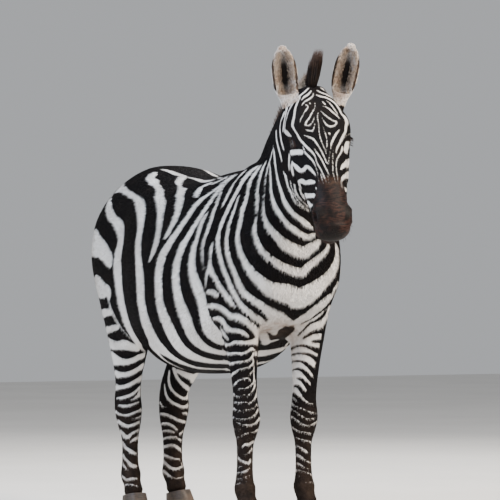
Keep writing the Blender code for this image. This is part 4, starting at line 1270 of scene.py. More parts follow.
def grow_coat(skin, values, shut):
    """Closed tufts all over the skin, each the colour of the skin at its root."""
    points, normals, corners = read_mesh(skin)
    points = points - np.array(SHIFT)
    chance = np.random.default_rng(7)
    a, b, c = (points[corners[:, i]] for i in range(3))
    area = np.linalg.norm(np.cross(b - a, c - a), axis=1) / 2
    middle = (a + b + c) / 3
    size = tuft_sizes(middle)
    wanted = area / size[:, 0] ** 2
    bare = values["bare"][corners].mean(1)
    wanted *= np.where(bare > 0.5, 0.30, 1.0)
    wanted[shut[corners].any(1)] = 0
    count = np.floor(wanted + chance.random(len(wanted))).astype(int)
    face = np.repeat(np.arange(len(corners)), count)
    u, v = chance.random((2, len(face)))
    over = u + v > 1
    u[over], v[over] = 1 - u[over], 1 - v[over]
    share = np.stack([1 - u - v, u, v], 1)

    def at_root(value):
        weight = share if value.ndim == 1 else share[..., None]
        return (value[corners[face]] * weight).sum(1)

    root = at_root(points)
    normal = unit(at_root(normals), 1e-9)
    length, width, lift = tuft_sizes(root).T[1:]
    way = unit(square_to(normal, lie_of_coat(root)), 1e-6)
    side = np.cross(normal, way)
    swing = chance.normal(0, 0.16, len(root))[:, None]
    way = way + side * swing
    grow = chance.uniform(0.75, 1.2, len(root))
    bare_root = at_root(values["bare"])
    length = length * grow * np.where(bare_root > 0.5, 0.5, 1)
    lift = lift * chance.uniform(0.55, 1.0, len(root))
    foot = root - normal * 0.0006
    tip = root + way * length[:, None] + normal * lift[:, None]
    tint = chance.random(len(root))
    place = unwrapped(root)
    kept = {name: at_root(value) for name, value in values.items()}
    order = np.argsort(root[:, 1])
    pieces = []
    for i in range(0, len(order), COAT_PIECE):
        mine = order[i : i + COAT_PIECE]
        size = width[mine], width[mine] * 0.5
        name = f"coat_{len(pieces) + 1}"
        piece, along, per = strands(name, foot[mine], tip[mine], side[mine], *size, 0.0, [0.0], [1.0])
        set_values(piece, along=along, tint=np.repeat(tint[mine], per))
        set_values(piece, **{key: np.repeat(value[mine], per) for key, value in kept.items()})
        set_bake_map(piece, (place[mine][:, None] + np.array(TUFT_PATCH)).reshape(-1, 2))
        pieces.append(piece)
    return pieces


# ---- Hair ----

MANE_HAIRS = 5200
FORELOCK_HAIRS = 900
TUFT_HAIRS = 900
EAR_HAIRS = 1100
LASHES = 70
WHISKERS = 260
# Half width of an ear's cup along its length, against EAR_HALF_WIDTH.
CUP_AT = [0, 0.3, 0.5, 0.7, 0.9]
CUP_WIDTH = [0.66, 0.95, 1.0, 0.9, 0.55]
MOUTH_MIDDLE = (0, 0.44, -0.09)
HAIR_RINGS = [0.0, 0.35, 0.7]
HAIR_TAPER = [1.0, 0.85, 0.5]


def between(at, places, rows):
    """Rows of numbers, read between their places."""
    return np.stack([np.interp(at, places, column) for column in rows.T], 1)


def round_about(chance, count):
    """Level ways out from an upright middle, and the ways round it beside them."""
    angle = chance.uniform(0, 2 * math.pi, count)
    out = np.stack([np.cos(angle), np.sin(angle), 0 * angle], 1)
    return out, np.stack([-out[:, 1], out[:, 0], out[:, 2]], 1)


def hair_piece(name, root, tip, wide, width, bow, chance, stripe=-0.01, colour_at=None):
    """A piece of long hairs with its values and bake map. Without stripe it is all dark."""
    thick = width * 0.6
    piece, along, per = strands(name, root, tip, wide, width, thick, bow, HAIR_RINGS, HAIR_TAPER)
    tint = chance.random(len(root))
    stripe = np.full(len(root), stripe)
    set_values(piece, along=along, tint=np.repeat(tint, per), stripe=np.repeat(stripe, per))
    place = unwrapped(root if colour_at is None else colour_at)
    spread = np.stack([chance.uniform(-1, 1, (len(root), per)), chance.uniform(-1, 1, (len(root), per))], -1)
    set_bake_map(piece, (place[:, None] + 0.0015 * spread).reshape(-1, 2))
    return piece


def mane_hairs(whole, stripe_at):
    """Hair that stands on the crest in clumps. It takes the bands of the neck beside it."""
    chance = np.random.default_rng(5)
    length = smooth_through(*zip(*MANE))
    shares = np.linspace(MANE_START, MANE_END, 90)
    crests = [crest(whole, s) for s in shares]
    share = chance.uniform(MANE_START, MANE_END, MANE_HAIRS)
    here, up, onward = (between(share, shares, np.array([c[i] for c in crests])) for i in range(3))
    side = unit(np.cross(up, onward))
    across = np.clip(chance.normal(0, 0.45, MANE_HAIRS), -1, 1)
    clump = np.round(share * 150 + across * 1.2)
    height = length(share) * (0.85 + 0.12 * np.sin(clump * 2.4)) * chance.uniform(0.82, 1.12, MANE_HAIRS)
    height *= 1 - 0.18 * np.abs(across)
    lean = 0.006 * np.sin(clump * 1.7) + chance.normal(0, 0.0022, MANE_HAIRS) - 0.004
    root = here + side * (across * MANE_HALF_WIDTH * 0.80)[:, None] - up * 0.012
    tip = here + up * height[:, None] + onward * lean[:, None]
    tip += side * (across * 0.008 + 0.0025 * np.sin(clump * 3.1))[:, None]
    width = chance.uniform(0.0011, 0.0019, MANE_HAIRS)
    bow = side * (across * 0.004)[:, None]
    colour_at = here + side * (across * MANE_HALF_WIDTH)[:, None]
    stripe = stripe_at(here - up * 0.035 + side * (np.sign(across) * 0.040)[:, None])
    return hair_piece("mane_hair", root, tip, onward, width, bow, chance, stripe, colour_at)


def forelock_point(root, share):
    lean = Vector((*FORELOCK_LEAN, 0)) * max(share, 0) ** 2
    return root + Vector((0, 0, FORELOCK_HEIGHT * share)) + lean


def forelock_hairs(whole):
    """A blunt brush of hair between the ears."""
    chance = np.random.default_rng(11)
    start = crest(whole, 0.985)[0]
    out, wide = round_about(chance, FORELOCK_HAIRS)
    reach = 1 - 0.38 * chance.random(FORELOCK_HAIRS) ** 1.3
    away = chance.random(FORELOCK_HAIRS) ** 0.6
    base = np.array(forelock_point(start, -0.08))
    root = base + out * (FORELOCK_HALF_WIDTH * 0.62 * away)[:, None]
    tip = np.array([forelock_point(start, r) for r in reach])
    tip += out * (FORELOCK_HALF_WIDTH * (0.25 + 0.95 * away) * (1.25 - reach * 0.6))[:, None]
    bow = out * (0.005 * away)[:, None]
    width = chance.uniform(0.0012, 0.0022, FORELOCK_HAIRS)
    return hair_piece("forelock_hair", root, tip, wide, width, bow, chance)


def tuft_point(share):
    return np.array(TAIL[6][:3]) + (np.array(TUFT_END) - np.array(TAIL[6][:3])) * share


def tail_hairs():
    """The tuft at the end of the tail."""
    chance = np.random.default_rng(3)
    out, wide = round_about(chance, TUFT_HAIRS)
    start = 0.02 + 0.36 * chance.random(TUFT_HAIRS)
    end = np.minimum(1.0, start + chance.uniform(0.40, 0.70, TUFT_HAIRS))
    thin = np.interp(start, [0, 0.4], [0.010, 0.004])
    root = np.array([tuft_point(s) for s in start]) + out * thin[:, None]
    spread = chance.uniform(0.0, 0.016, TUFT_HAIRS) * (1.35 - end)
    tip = np.array([tuft_point(s) for s in end]) + out * spread[:, None]
    bow = out * chance.uniform(0.008, 0.018, TUFT_HAIRS)[:, None]
    width = chance.uniform(0.0014, 0.0026, TUFT_HAIRS)
    return hair_piece("tail_hair", root, tip, wide, width, bow, chance)


def ear_hairs(tree):
    """Long pale hair that fills the cup of each ear from its edges."""
    chance = np.random.default_rng(19)
    roots, tips, wides = [], [], []
    for name in SIDES:
        foot, axis, length, opening, sideways = ear_frame(name)
        for _ in range(EAR_HAIRS):
            share = chance.uniform(0.06, 0.88)
            side = chance.choice((-1, 1))
            half = EAR_HALF_WIDTH * float(np.interp(share, CUP_AT, CUP_WIDTH))
            inset = chance.uniform(0.08, 0.75)
            off = sideways * (side * half * (1 - inset))
            spot = foot + axis * (share * length) + off + opening * 0.045
            hit = tree.ray_cast(Vector(spot), Vector(-opening), 0.08)[0]
            if hit is None:
                continue
            reach = chance.uniform(0.010, 0.024) * (1.1 - inset)
            way = axis * 0.75 - sideways * (side * 0.55) + opening * 0.75
            way /= np.linalg.norm(way)
            roots.append(np.array(hit) - opening * 0.001)
            tips.append(np.array(hit) + way * reach + axis * chance.normal(0, 0.002))
            wides.append(sideways)
    root, tip, wide = (np.array(v) for v in (roots, tips, wides))
    width = chance.uniform(0.0008, 0.0014, len(root))
    return hair_piece("ear_hair", root, tip, wide, width, 0.0, chance, stripe=0.01)


def lid_ring(side, radius, count=56):
    """The edge of the eye opening on a ball around the eye, from the inner corner and round."""
    centre = np.array(eye_at(side))
    slant = np.array(Matrix.Rotation(EYE_SLANT, 3, "X"))
    ring = []
    for t in np.linspace(0, 2 * math.pi, count, endpoint=False):
        across = slant @ np.array((0, math.cos(t), math.sin(t)))
        for angle in np.linspace(0, 1.5, 180):
            way = np.array((side, 0, 0)) * math.cos(angle) + across * math.sin(angle)
            spot = centre + way * radius
            if opening_reach(spot, side) > 1:
                break
        ring.append(np.array(on_head(*spot)))
    return np.array(ring)


def tube_along(name, ring, radius):
    """A closed tube round a ring of points."""
    ahead = unit(np.roll(ring, -1, 0) - np.roll(ring, 1, 0))
    out = unit(square_to(ahead, ring - ring.mean(0)))
    up = np.cross(ahead, out)
    steps = 8
    points = []
    for j in range(steps):
        angle = 2 * math.pi * j / steps
        points.append(ring + out * radius * math.cos(angle) + up * radius * math.sin(angle))
    points = np.stack(points, 1).reshape(-1, 3)
    faces = []
    for i in range(len(ring)):
        for j in range(steps):
            a, b = i * steps + j, i * steps + (j + 1) % steps
            c, d = (a + steps) % len(points), (b + steps) % len(points)
            faces += [(a, b, d), (a, d, c)]
    bm = bmesh.new()
    verts = [bm.verts.new(p + np.array(SHIFT)) for p in points]
    for f in faces:
        bm.faces.new([verts[i] for i in f])
    face_out(bm)
    piece = bmesh_object(name, bm)
    piece.data.shade_smooth()
    return piece


def lashes(name, side):
    """Lashes along the upper lid, curved out and down."""
    chance = np.random.default_rng(29)
    ring = lid_ring(side, EYE_RADIUS + LID_THICKNESS * 0.8)
    height = in_head(ring)[:, 2]
    upper = ring[height > np.median(height)]
    upper = upper[np.argsort(in_head(upper)[:, 1])]
    at = chance.uniform(0, len(upper) - 1, LASHES)
    root = between(at, np.arange(len(upper)), upper)
    out = HEAD_FRAME @ np.array((side * 0.80, 0.15, 0.25))
    down = HEAD_FRAME @ np.array((0.0, 0.75, -0.20))
    length = chance.uniform(0.010, 0.019, len(root))[:, None]
    tip = root + (out * 0.8 + down * chance.uniform(0.2, 0.7, len(root))[:, None]) * length
    bow = out[None] * 0.10 * length
    wide = np.tile(down, (len(root), 1))
    width = np.full(len(root), 0.0007)
    return hair_piece(name, root, tip, wide, width, bow, chance)


def whiskers(tree):
    """Fine hairs on lips and chin."""
    chance = np.random.default_rng(31)
    roots, tips = [], []
    middle = on_head(*MOUTH_MIDDLE)
    droop = np.array((0, 0, -0.35))
    for _ in range(WHISKERS):
        local = (chance.normal(0, 0.035), chance.uniform(0.44, 0.53), chance.uniform(-0.15, -0.05))
        way = (on_head(*Vector(local)) - middle).normalized()
        hit = tree.ray_cast(middle + way * 0.15, -way, 0.3)
        if hit[0] is None:
            continue
        normal = np.array(hit[1])
        roots.append(np.array(hit[0]) - normal * 0.001)
        way = normal * 0.5 + droop + HEAD_FRAME[:, 1] * 0.3
        tips.append(np.array(hit[0]) + way * chance.uniform(0.006, 0.018))
    root, tip = np.array(roots), np.array(tips)
    wide = np.tile(HEAD_FRAME[:, 0], (len(root), 1))
    width = np.full(len(root), 0.0005)
    return hair_piece("whiskers", root, tip, wide, width, 0.0, chance)


def eye_piece(name, side):
    """A smooth eyeball with a little more curve over the iris."""
    bm = bmesh.new()
    bmesh.ops.create_icosphere(bm, subdivisions=5, radius=1.0)
    gaze = Vector((side * 0.97, 0.05, 0.22)).normalized()
    off = []
    for vertex in bm.verts:
        near = max(0.0, vertex.co.dot(gaze))
        off.append(math.acos(min(1.0, near)))
        radius = EYE_RADIUS - 0.0003 + 0.0007 * max(0.0, near - 0.80) / 0.20
        vertex.co = HEAD_AXES @ (vertex.co * radius)
        vertex.co += on_head(*eye_at(side)) + SHIFT
    face_out(bm)
    piece = bmesh_object(name, bm)
    piece.data.shade_smooth()
    set_values(piece, off_axis=np.array(off))
    return piece


# ---- Strokes of the brush ----

# Brush strokes placed on the photograph, parted by semicolons: the points that each runs through as
# x,y,half width in pixels. White strokes go on the dark coat first, and dark strokes over them.
TRUNK_WHITE = """
121,187.5,4.5 129.5,193,3.8 137.5,198.5,3.6 141,206,3.6 142,216,3.5 141,228,3.2 139,240,3.5 138.5,254,3.5
139.5,266,4 140.3,278,4.6 141,290,4.5 141.3,300,4.5 143,310,4.5 145.3,320,5.2 149,330,5.6 153.5,340,6.3
158,346,6 163,350,4.5 168,354.5,3.6 174,358.5,3 181,362,2.5 189,365.3,1.9 198,367.6,1.5 208,368.6,1.3
225,369,1.2;
153,347,3.5 157,352,2.2 161,356.5,1.6 166,360.5,1.3 172,364,1 178,366.8,0.7 184,369,0.5;
113,194,1.5 109.8,201,2.2 109.3,208,2.6 112,216,4 117,222,4.5 121,229,4.3 122,236,3.8 120.5,246,3.7
118.5,257,4.2 118,268,4.7 119.3,280,4.7 120.7,290,4.7 121.8,300,4.5 124,310,4.3 126.7,320,4 130.5,330,3.4
135.5,340,2.5 141,347.5,1.5 146,352,0.7;
108.8,299,0.7 110.8,307.5,0.9 115,316.7,0.9 120.8,326.7,0.8 127.5,335,0.6 135,342.5,0.5 141.7,349,0.5;
153,174.5,2.8 151.5,178.5,3.2 157,184,3.8 160,190,3.4 160.5,197,3.6 162,204,3.8 161.5,213,3.1 160.5,223,3.1
159,233,2.8 157,242,2.9 153.5,252,2.4 149.5,261,0.8;
163,169.8,0.8 168,171,1.2 174,173.2,1.7 180,175.5,1.8 186.5,177,1.3;
183.5,177.5,2.2 180.5,182,2.4 181,187,2.7 182.3,190.5,3.4 181,197,2.4 180.5,202,3.6 179,210,3 175.7,219,3.2
172.3,226,2.5 168.5,233,2.2 165.3,238.5,0.9;
189.5,178,0.8 195,179,1.4 203,181,1.8 210,181,1.2 215,179.5,0.8;
212,183,1 206,185.5,1.2 200.5,188.5,1.6 198.5,193,2.7 198.5,196,1.6;
229,176.5,0.7 222,180,1 213,184,0.7;
168,165,0.6 182,166,0.8 192,168.5,0.8 202,172.5,0.8 213,176,0.9 222,178.5,0.5;
207,169,0.6 213,171.5,0.8 219,175,0.7 223,177.5,0.4;
235,175,0.6 230,178.5,0.9 225,182,1 219.5,186.5,1.1 214,191,1.2 208,195,1.4 201,200.5,2.2 195,207,2.5
189,216,2.6 182,226,2.8 175,236,3.1 169,245,3.7 163,256,4.2 160,267,4.3 159,279,4.2 159.2,290,4.2
160,300,4.2 162.3,310,4.8 166,320,5.5 170.2,330,6 175.2,340,6 181,348,5.6 188,353.5,5 196,357.5,3.9
206,360.2,2.8 216,361.7,2.2 226,362,2.1;
224,184,0.7 219.5,189.5,1.3 215,196,1.8 207.5,206.5,2.1 201.5,215.5,2.1 195.5,225,2.3 189.5,235,2.9
183.5,245.5,3.6 179.5,256,3.7 177,267,4.2 176.3,279,4.3 177.2,289,4.6 179.5,300,5 183,310,6 187,320,6.3
190,330,5.9 194.5,338,6 200,344,5 207,348.5,3.8 215,351.2,2.9 224,353,2.7;
209.5,210,0.6 205.5,216.5,1.6 202,224,2 199.5,232,2 197,240,2.3 194.5,248,3 193,256,3.5 192.5,265,4.1
193.8,275,4.8 197,285,5.6 200.8,295,5.6 203,305,5 205,315,5.5 208.5,325,7 213,333,8 217,339,5 221,342,3.5;
237,174.5,0.6 229,181,1 223,187.5,1.2 220.5,195,1.4 218,202,1.5 214.7,210,1.7 211.7,220,1.8 208.2,230,1.8
204.7,240,1.7 203.2,250,1.3 203.3,260,1 204.5,271,0.5;
246,170.5,0.8 241,175,1.5 236.5,180.5,2 231.5,189,1.9 227,198,1.5 223,205.5,0.8;
259,165.5,0.8 254,169,1.5 249,174,2 244,180,2.3 239,189,1.8 233,199.5,1.9 228,210,2 223.5,220,2 220,230,2
218.3,240,2.5 219.2,250,2.3 221.5,260,2 224.7,270,2.2 228.5,280,2.5 233,290,3 237,297,2.6 241,304,3
246,309.3,3.5 252,314,3.7 258,318.5,4 263,323,3.5 265,328,2.5;
240,194.5,0.6 237.5,201,1.3 234.7,210,1.5 231,220,1.6 228.5,230,2 227,240,2 227.7,250,2.2 230.2,260,2.2
234,270,2.5 237.5,279,3 240.5,286,3.6 244.5,292.5,4 251,298,3.8 258,302.5,4 265,307.5,4.6 272,312.5,6
279,317.5,7 284,322,5.5 288,323.5,2.5;
268,322,4 274,328,6 277,333,4;
261,329,4 264,336,5 267,343,4.5;
293,332,3 292,338,4 288,345,4;
262,164,0.6 257.5,170.5,1.5 252,179,2 249,189,1.7 246.3,200,2.2 243,210,2.5 241.3,220,2.5 239,230,2.5
238,237,2.6 239.5,247,2.9 243,257.5,3.3 248.5,267,4.4 254.5,275,5.5 262,282,6.8 271,288.5,8.5 281,291.5,10.5
291,294.5,11.5 299,298,11.5 306,295,11 313,290.5,9.5 320,284.5,7.5 326.5,278.5,6 331.5,272,4.8 335,264.5,3.6
336.8,256,2.4 336.5,248,1.8 335,243.5,1;
266.5,161,0.6 262.5,170,1.4 259.8,180,1.3 258,190,1.6 258,200,2 257.6,208,1.9 257.6,215,0.8 255.8,223,1.8
255.3,232,2.3 257.5,241,2.8 261.5,249,3.2 267.5,255.5,3.6 275,261,4 283,266.5,4.8 291,269.5,5.2
297.5,271.5,5.2 302,272,5 307,267,4.2 312.5,262.5,4.2 318,258,3.5 323.5,253,2.8 327,248.5,2.2 328.5,244,1.6;
272.5,150,0.6 271,157,0.6 268.5,165,0.8 266.5,175,0.8 265.5,185,0.8 264.5,195,0.8 264,205,1.1 264.3,214,1.8
266.5,222,3 271,229,4 277,236,4.8 284,243,6 291,247.5,6.7 298,250.5,6.8 303.5,252,7 309,249,6.3 314,245.5,5
318,242,3.5 320,240.5,1.5;
269.7,163,0.6 270.4,171,1 270.9,181,1.3 271.2,190,1.5 272.5,197,2 274.5,204,2.5 278,210.5,2.7 283,218,2.8
290,226,3.2 297,231,3.3 303,235,3.5 308.5,236.6,3.1 313.5,234.5,2.2 316,233.5,1;
273.5,140,0.7 274,150,0.9 275,161.5,1.1 276.5,173,1.2 278.8,183,1.5 281.2,190.8,1.9 284.2,200,2.5
289,208,2.9 294,214,3 299.5,218,3 305,222.5,3.5 310,226,2.5 312.5,227.5,1.5;
276.2,130.8,0.9 276.5,138.5,0.9 278,146,1 280,153.8,1.1 282,163,1.3 284.2,170.8,1.6 286.2,178.5,1.4
288,186,1.3 290.8,192.3,1.3 293.5,198.5,1.3 297.3,203.8,1.2 302,207,1 306,209.5,0.8;
284.6,112,0.9 281,120.8,0.9 280,128.5,1 280.4,134.6,1.1 281.5,141.5,1 283.5,149,0.8;
287,107,1.5 286,112,1 284.6,120,0.8 283.5,126,0.8 283,131,0.6;
340,272,0.5 339,280,1.2 336.5,285.5,1.8 333.5,289.8,1;
213,242,0.9 212,247,1.7 211,255,1.3 210.5,262,1.6 210.5,268,3 215,276,2.4 219,284,2.2 224,291.5,2.8
229.5,299,3.2 236,307,0.8;
208.5,270,2 207,276,1.2 206.3,284,0.7 206.3,289,0.4;
207.5,291,2 212,291.5,2.8 218,294.5,2.3;
256,353.5,3.5 265,353,3.3 275,351,2.8 284,348.5,2;
257,363,2 265,362,1.5 273,359,1;
264,342.5,1.5 271,341,1.7 278,339.5,1
"""

RUMP_WHITE = """
92,241,8 99,246,7 105,252,6.3 109,258,5 110,266,1.5;
91,283,6.5 98,286,6.5 104,289,6 108,291,4 109.5,298,1;
96,315,5.5 101,313.5,5.5 107,312,4.8 112,311.5,3.5;
100.5,327.5,1.2 104,328.5,2 109,329,3.7 114,327.5,4 118,326.5,3;
100,337,3 105,340.5,3.2 111,343.5,3.2 118,345.3,4.5 125,344.8,5.5 132,347,4.5 138,350,2.2;
110,356,3.8 115,358.5,3.8 121,361,3.7 127,361.7,3.5 133,360,3.4 139,357,3.2 143,355.5,2.8
"""

FORE_RIGHT_WHITE = """
207.5,305.5,2.5 213,305.5,2.9 219,306.5,2.6 225,310.3,2.5 231,315,2.8 237,316,4 243,318.8,3.6 249,323,3.6
254,328,4 258,333,3.5;
213.5,318,1.5 219,318,2 223,321,2.2 226.5,326.5,2.5 231.5,329.7,2.6 238,330.2,2.8 243.5,332.5,2.5
248.5,335.8,1.5;
220.5,326.5,0.8 223,331.5,1.2 226,335.8,1.2 228.5,338.5,0.7;
220.5,336.5,0.7 222.5,341,1.2 226,344.3,1.6 230,344,1.7 234,342.2,2.1 242,342.2,2.3 250,342,2.6
256,340.5,3.5 259,338,2.5;
222,347,0.7 223.5,351,1.2 228,353.4,1.6 235,353,1.6 242,353.3,1.6 247,351.5,1.7 252,348.8,1.9 255,350,1.2;
223.8,359,0.7 226,362.3,1.3 231,363.2,1.6 238,361.8,1.4 245,361,1.3 249.5,359.2,1.4 252.5,356,1.4
253.5,352.5,1.2;
226,368.5,0.8 228,369.8,1 231,370,0.8;
228.5,377.2,0.8 233,373.5,1.3 239,369.6,1.3 246,367.8,1.2 250.5,365.8,1.3 253.3,362.5,1.3 253,358,0.8;
230.5,384.8,0.9 234,384.5,1.2 238,380.8,1.2 243,378.7,1.2 247.5,378.2,1.1 251,380.3,0.9;
248,377,0.8 250.5,373.5,1 253.3,370.5,0.9;
253.7,364,0.8 253.8,372,0.9 253.8,380,0.9 253,384,0.9;
236.5,389.5,0.7 241,388.2,1.1 246,388.2,1.1 250,386,1.1 253,382.5,0.9;
233.5,393.8,0.8 237,396.3,0.9 243,395.2,1 248,395.4,1.1 252,391.5,1.1 254.6,386,1 255,380,0.7;
233.5,401,0.8 238,402.8,1.1 244,401.8,1 249,403,1.1 253.5,399.8,1 256.2,394.5,0.9 256.6,388,0.6;
232.5,407,0.7 236,409.8,0.9 242,410.7,1 249,409.4,1 254,407.6,0.9 257,404,0.7;
231.5,416.3,0.8 236,418.2,0.9 243,418.7,0.9 250,417.8,1 255,414.5,1.2 258,409.5,0.9;
237,422.3,0.8 243,424.5,1 249,425,1.2 254.5,423.6,1.3 258.5,419.5,1.1 261,415,0.7;
232.5,428.3,0.7 238,428.7,0.7 244,429.8,0.5;
235.5,438.3,0.8 242,435,0.9 247.5,433,1 252.5,432.4,1 257,430,0.9 260,427,0.6;
245.5,439.5,0.5 249,438,0.7 254.5,437,0.6;
242,447,0.9 245,444.5,1.8 249,444,2 253,441.5,1.2;
236.5,446,1 237.5,446.5,0.8;
241,453.3,0.7 245.5,454.2,0.9 249.5,451.8,1.1 251.8,448.5,1;
237,455,0.7 240,459.5,1.2 244.5,462,1.7 249,463,1.8 250.5,458.5,1;
237.5,465.5,1 241.5,466.5,0.8;
236.8,472.3,0.9 242,472,1.2 247.5,469.8,1.2 250.5,467,0.7;
236.5,478.5,0.8 243,478,0.9 249.5,475.5,0.8;
236.5,484,0.7 242,482.5,0.8 248,482,0.7
"""

FORE_LEFT_WHITE = """
293,329,4.5 299,322.5,4.6 305,318,4.6 312,312.5,4.8 319,307,5 325.5,301.5,4.5 331.5,296,2.5;
297,336,5 304,330,6 311,325,6 318,320,6 325,314,5 327,309,3;
313,330,12 308,338,15 305,350,17 303,362,15.5 301.5,375,14 300,386,10 297,393,5;
292,396,0.6 296,400,0.9 301,403.3,0.6;
293,388.5,1.8 297.5,392,1.5 302,397.5,1.3 307,402,1.2 312,404,1 315.5,404,0.8;
291,402,0.7 294.5,405.5,1.1 300,407.8,1 306,410.3,1 312,412.6,1.1 316.5,413.3,1;
290,408,0.7 296,411.8,1 302,416,1 308,418.9,1.2 312,418.8,1 315,418,0.8;
290,415.5,0.9 296,419.3,1.1 302,423.8,1.2 308,425.5,1.2 313,424,1 316.5,421.5,0.7;
292,426.5,0.6 297,430,0.9 303,432,1 309,433,1 313.5,434.5,0.8;
296,437.5,0.8 302,439.5,1 307.5,441,1.3 312.5,442.5,1.2;
297,445.5,1 301.5,448,1.3 306,451.3,1.6 308.5,453,1;
311,456,1 313,452.5,1;
296,454.5,1.5 300.5,456.5,1.8 304,459.5,1.2 309,462,1.3 314,463.5,1;
296,462.5,1.3 301,465,1.3 305,467.5,0.9 310,469,0.8;
296,469.5,1.4 302,471,1.1 308,473,1 315,476.5,0.8;
298,476,0.7 306,477,0.6;
304,482,0.6 317,482,0.6
"""

FORE_LEFT_DARK = """
302,323,0.5 308,320,0.9 315,316,0.9 321,311.5,0.9 327,306.5,0.9 330,303,0.6;
298,335,0.7 304,329,0.8 310,323,1 317,320,1.5 322,316,2 326,310.5,1.5;
303,338,0.8 309,334.5,1.5 315,331.5,2.3 321,330.3,3 327,328.5,3.3;
312,341,0.8 317,341,1.8 324,340.5,2.5;
288.5,349.8,0.6 293,347.3,0.8 298,345.8,1 304,345.6,1.3 310,347.3,1.8 316,349.8,3 322,351.5,3.3;
288,355,0.5 294,354,0.8 299,353,0.9 304,353.3,1.2 309,354.5,1.6 314,357,2.2 319,360.5,3;
289,361.5,0.7 296,360.8,0.9 300,361,1 305,363,1.8 310,367,2.4 315,372.5,3;
289,369.5,0.6 294,369.5,0.8 299,368.8,1.4 304,371.5,2.2 308,376,2.5 313,381.5,2.5;
297,378,0.8 301,379,1.6 305,383,2.4 309,388,3 313.5,393,3.2;
294,385.5,1 298,386.5,1.8 302,391,2.3 306,396,2.6 311,399.5,2.5 315,401.5,2;
291,393,1 294,394.5,1.6 298,398.5,2 301.5,402,1.8 306,405,2 311,407.5,2 316,409,1.6;
283,334,3.5 287,329,3.8 289,327,2.5;
275,338,0.8 280,336.5,2.5
"""

HIND_RIGHT_WHITE = """
111,372,3.3 118,374,3 125,374.3,3 132,372.5,3 138,369,2.7 142,366,2.3;
112.5,384.5,1.2 118,386.8,2.3 125,386.3,2.5 131,383.8,2.6 136,380.8,2.4 141,377.5,2.1;
116.5,397.5,1 120,397.9,1.7 126,396.5,2 132,394,1.9 137,390,1.5 141,385.5,1;
129.5,400.3,0.8 133.5,399,1.3 137.5,395.8,1.8 140.5,391,1.8;
118,404.5,0.8 122,405.8,1.6 128,405.5,1.7 134,403.8,1.5 139,401.8,1.3;
114.5,409.5,0.8 117.5,412.8,1.1 122,414.7,1.4 127,415,1.5 132,413.3,1.6 138,410.7,1.3 142.5,408.5,1;
129.5,418.3,0.7 134,418.6,1 139,417,1 144,414.5,0.9;
114,420,1 118,421,1.3 122.5,424,1.8 127,426,2 132,425,1.8 137,422.8,1.6 143,420.2,1;
138,429,0.7 142.5,425.5,0.7;
118,429.5,1.2 121,431.5,1.4 124,435,2 128,437,2.4 131,434,1.8 135,431.5,1.5 139,430,1.2 142,428.5,0.8;
129.5,442.5,1 133,440,1.8 137,437.5,1.5 141,435,0.8;
120.5,438,0.9 123.5,444,1.3 127,448.5,1.8 131.5,451.5,2.4 136,453.5,1.5;
122,452,0.9 124.5,457.5,1.2 128,461.5,1.7 132,465.5,2.6 136,466,2;
123,463,0.8 125,467,1 128,470.5,1;
122.5,476,0.8 126.5,479.5,1.5 131,478.5,1.8 137,478.5,1.2;
122,486,1 129,484,1 137,486,1
"""

HIND_LEFT_WHITE = """
178,371,2.5 184,374,3.3 191,376.5,3.8 198,379.3,3.4 205,381.5,3;
174,368,2.2 175.5,374,2 179,380,2.2 184,385,2.6 190,389.5,3 196.5,392.5,2.2;
169.5,371,1.2 168.8,378,1.6 170,386,1.8 174,392,1.8 179,396,1.7 184,398.3,1.8 188.5,396.5,1.8 192,393.5,2;
164.5,384,0.8 165.3,391,1.4 167.5,397.5,1.7 172,402,1.8 178,405,1.9 184,406.8,1.9 189,404.5,2 193,402.8,1.5;
157.5,398.5,0.6 160.5,402.5,0.7 163,406.5,1 167,407.3,0.6;
157.5,408,0.8 161,407.8,0.7;
180.5,413.5,0.8 185,413,1.6 190.5,414,2;
156.5,414,1.1 162,413.6,1.6 168,415,1.8 174,417.8,1.8 180,420.5,2 185,421.8,2 189.5,422,1.4;
157.5,418.8,0.7 162,418.2,0.5;
157.5,425,0.9 162,423.5,1.4 168,423.5,1.6 173,426,1.7 177,429.5,1.6;
179.5,433.8,1.3 183,432.3,1.9 186.5,430.2,1.2;
159.5,432,0.9 164,430.6,1.3 169,430.5,1.6 174.5,432.5,1.3;
160,440,0.9 165,438,1.5 170.5,437,1.7 176,437,1.3;
177,438,1.1 180.5,440,1.7 184,441,1.3;
160.5,448,1.2 165,446.3,1.8 171,445,2 175,445.5,2 179,448.5,2 184,451.3,1.4;
161.5,453.2,1 166,455.5,1.6 172,457.8,1.5 179.5,459.3,1.2;
163,460.5,1.4 166.5,464,1.7 171.5,468,2 178,468.5,1.8 182.5,465.5,1.2 184,460.5,0.9;
164,471,1.5 168.5,474.8,1.5 174,478,1 180,477.8,1 185,476.3,0.9
"""

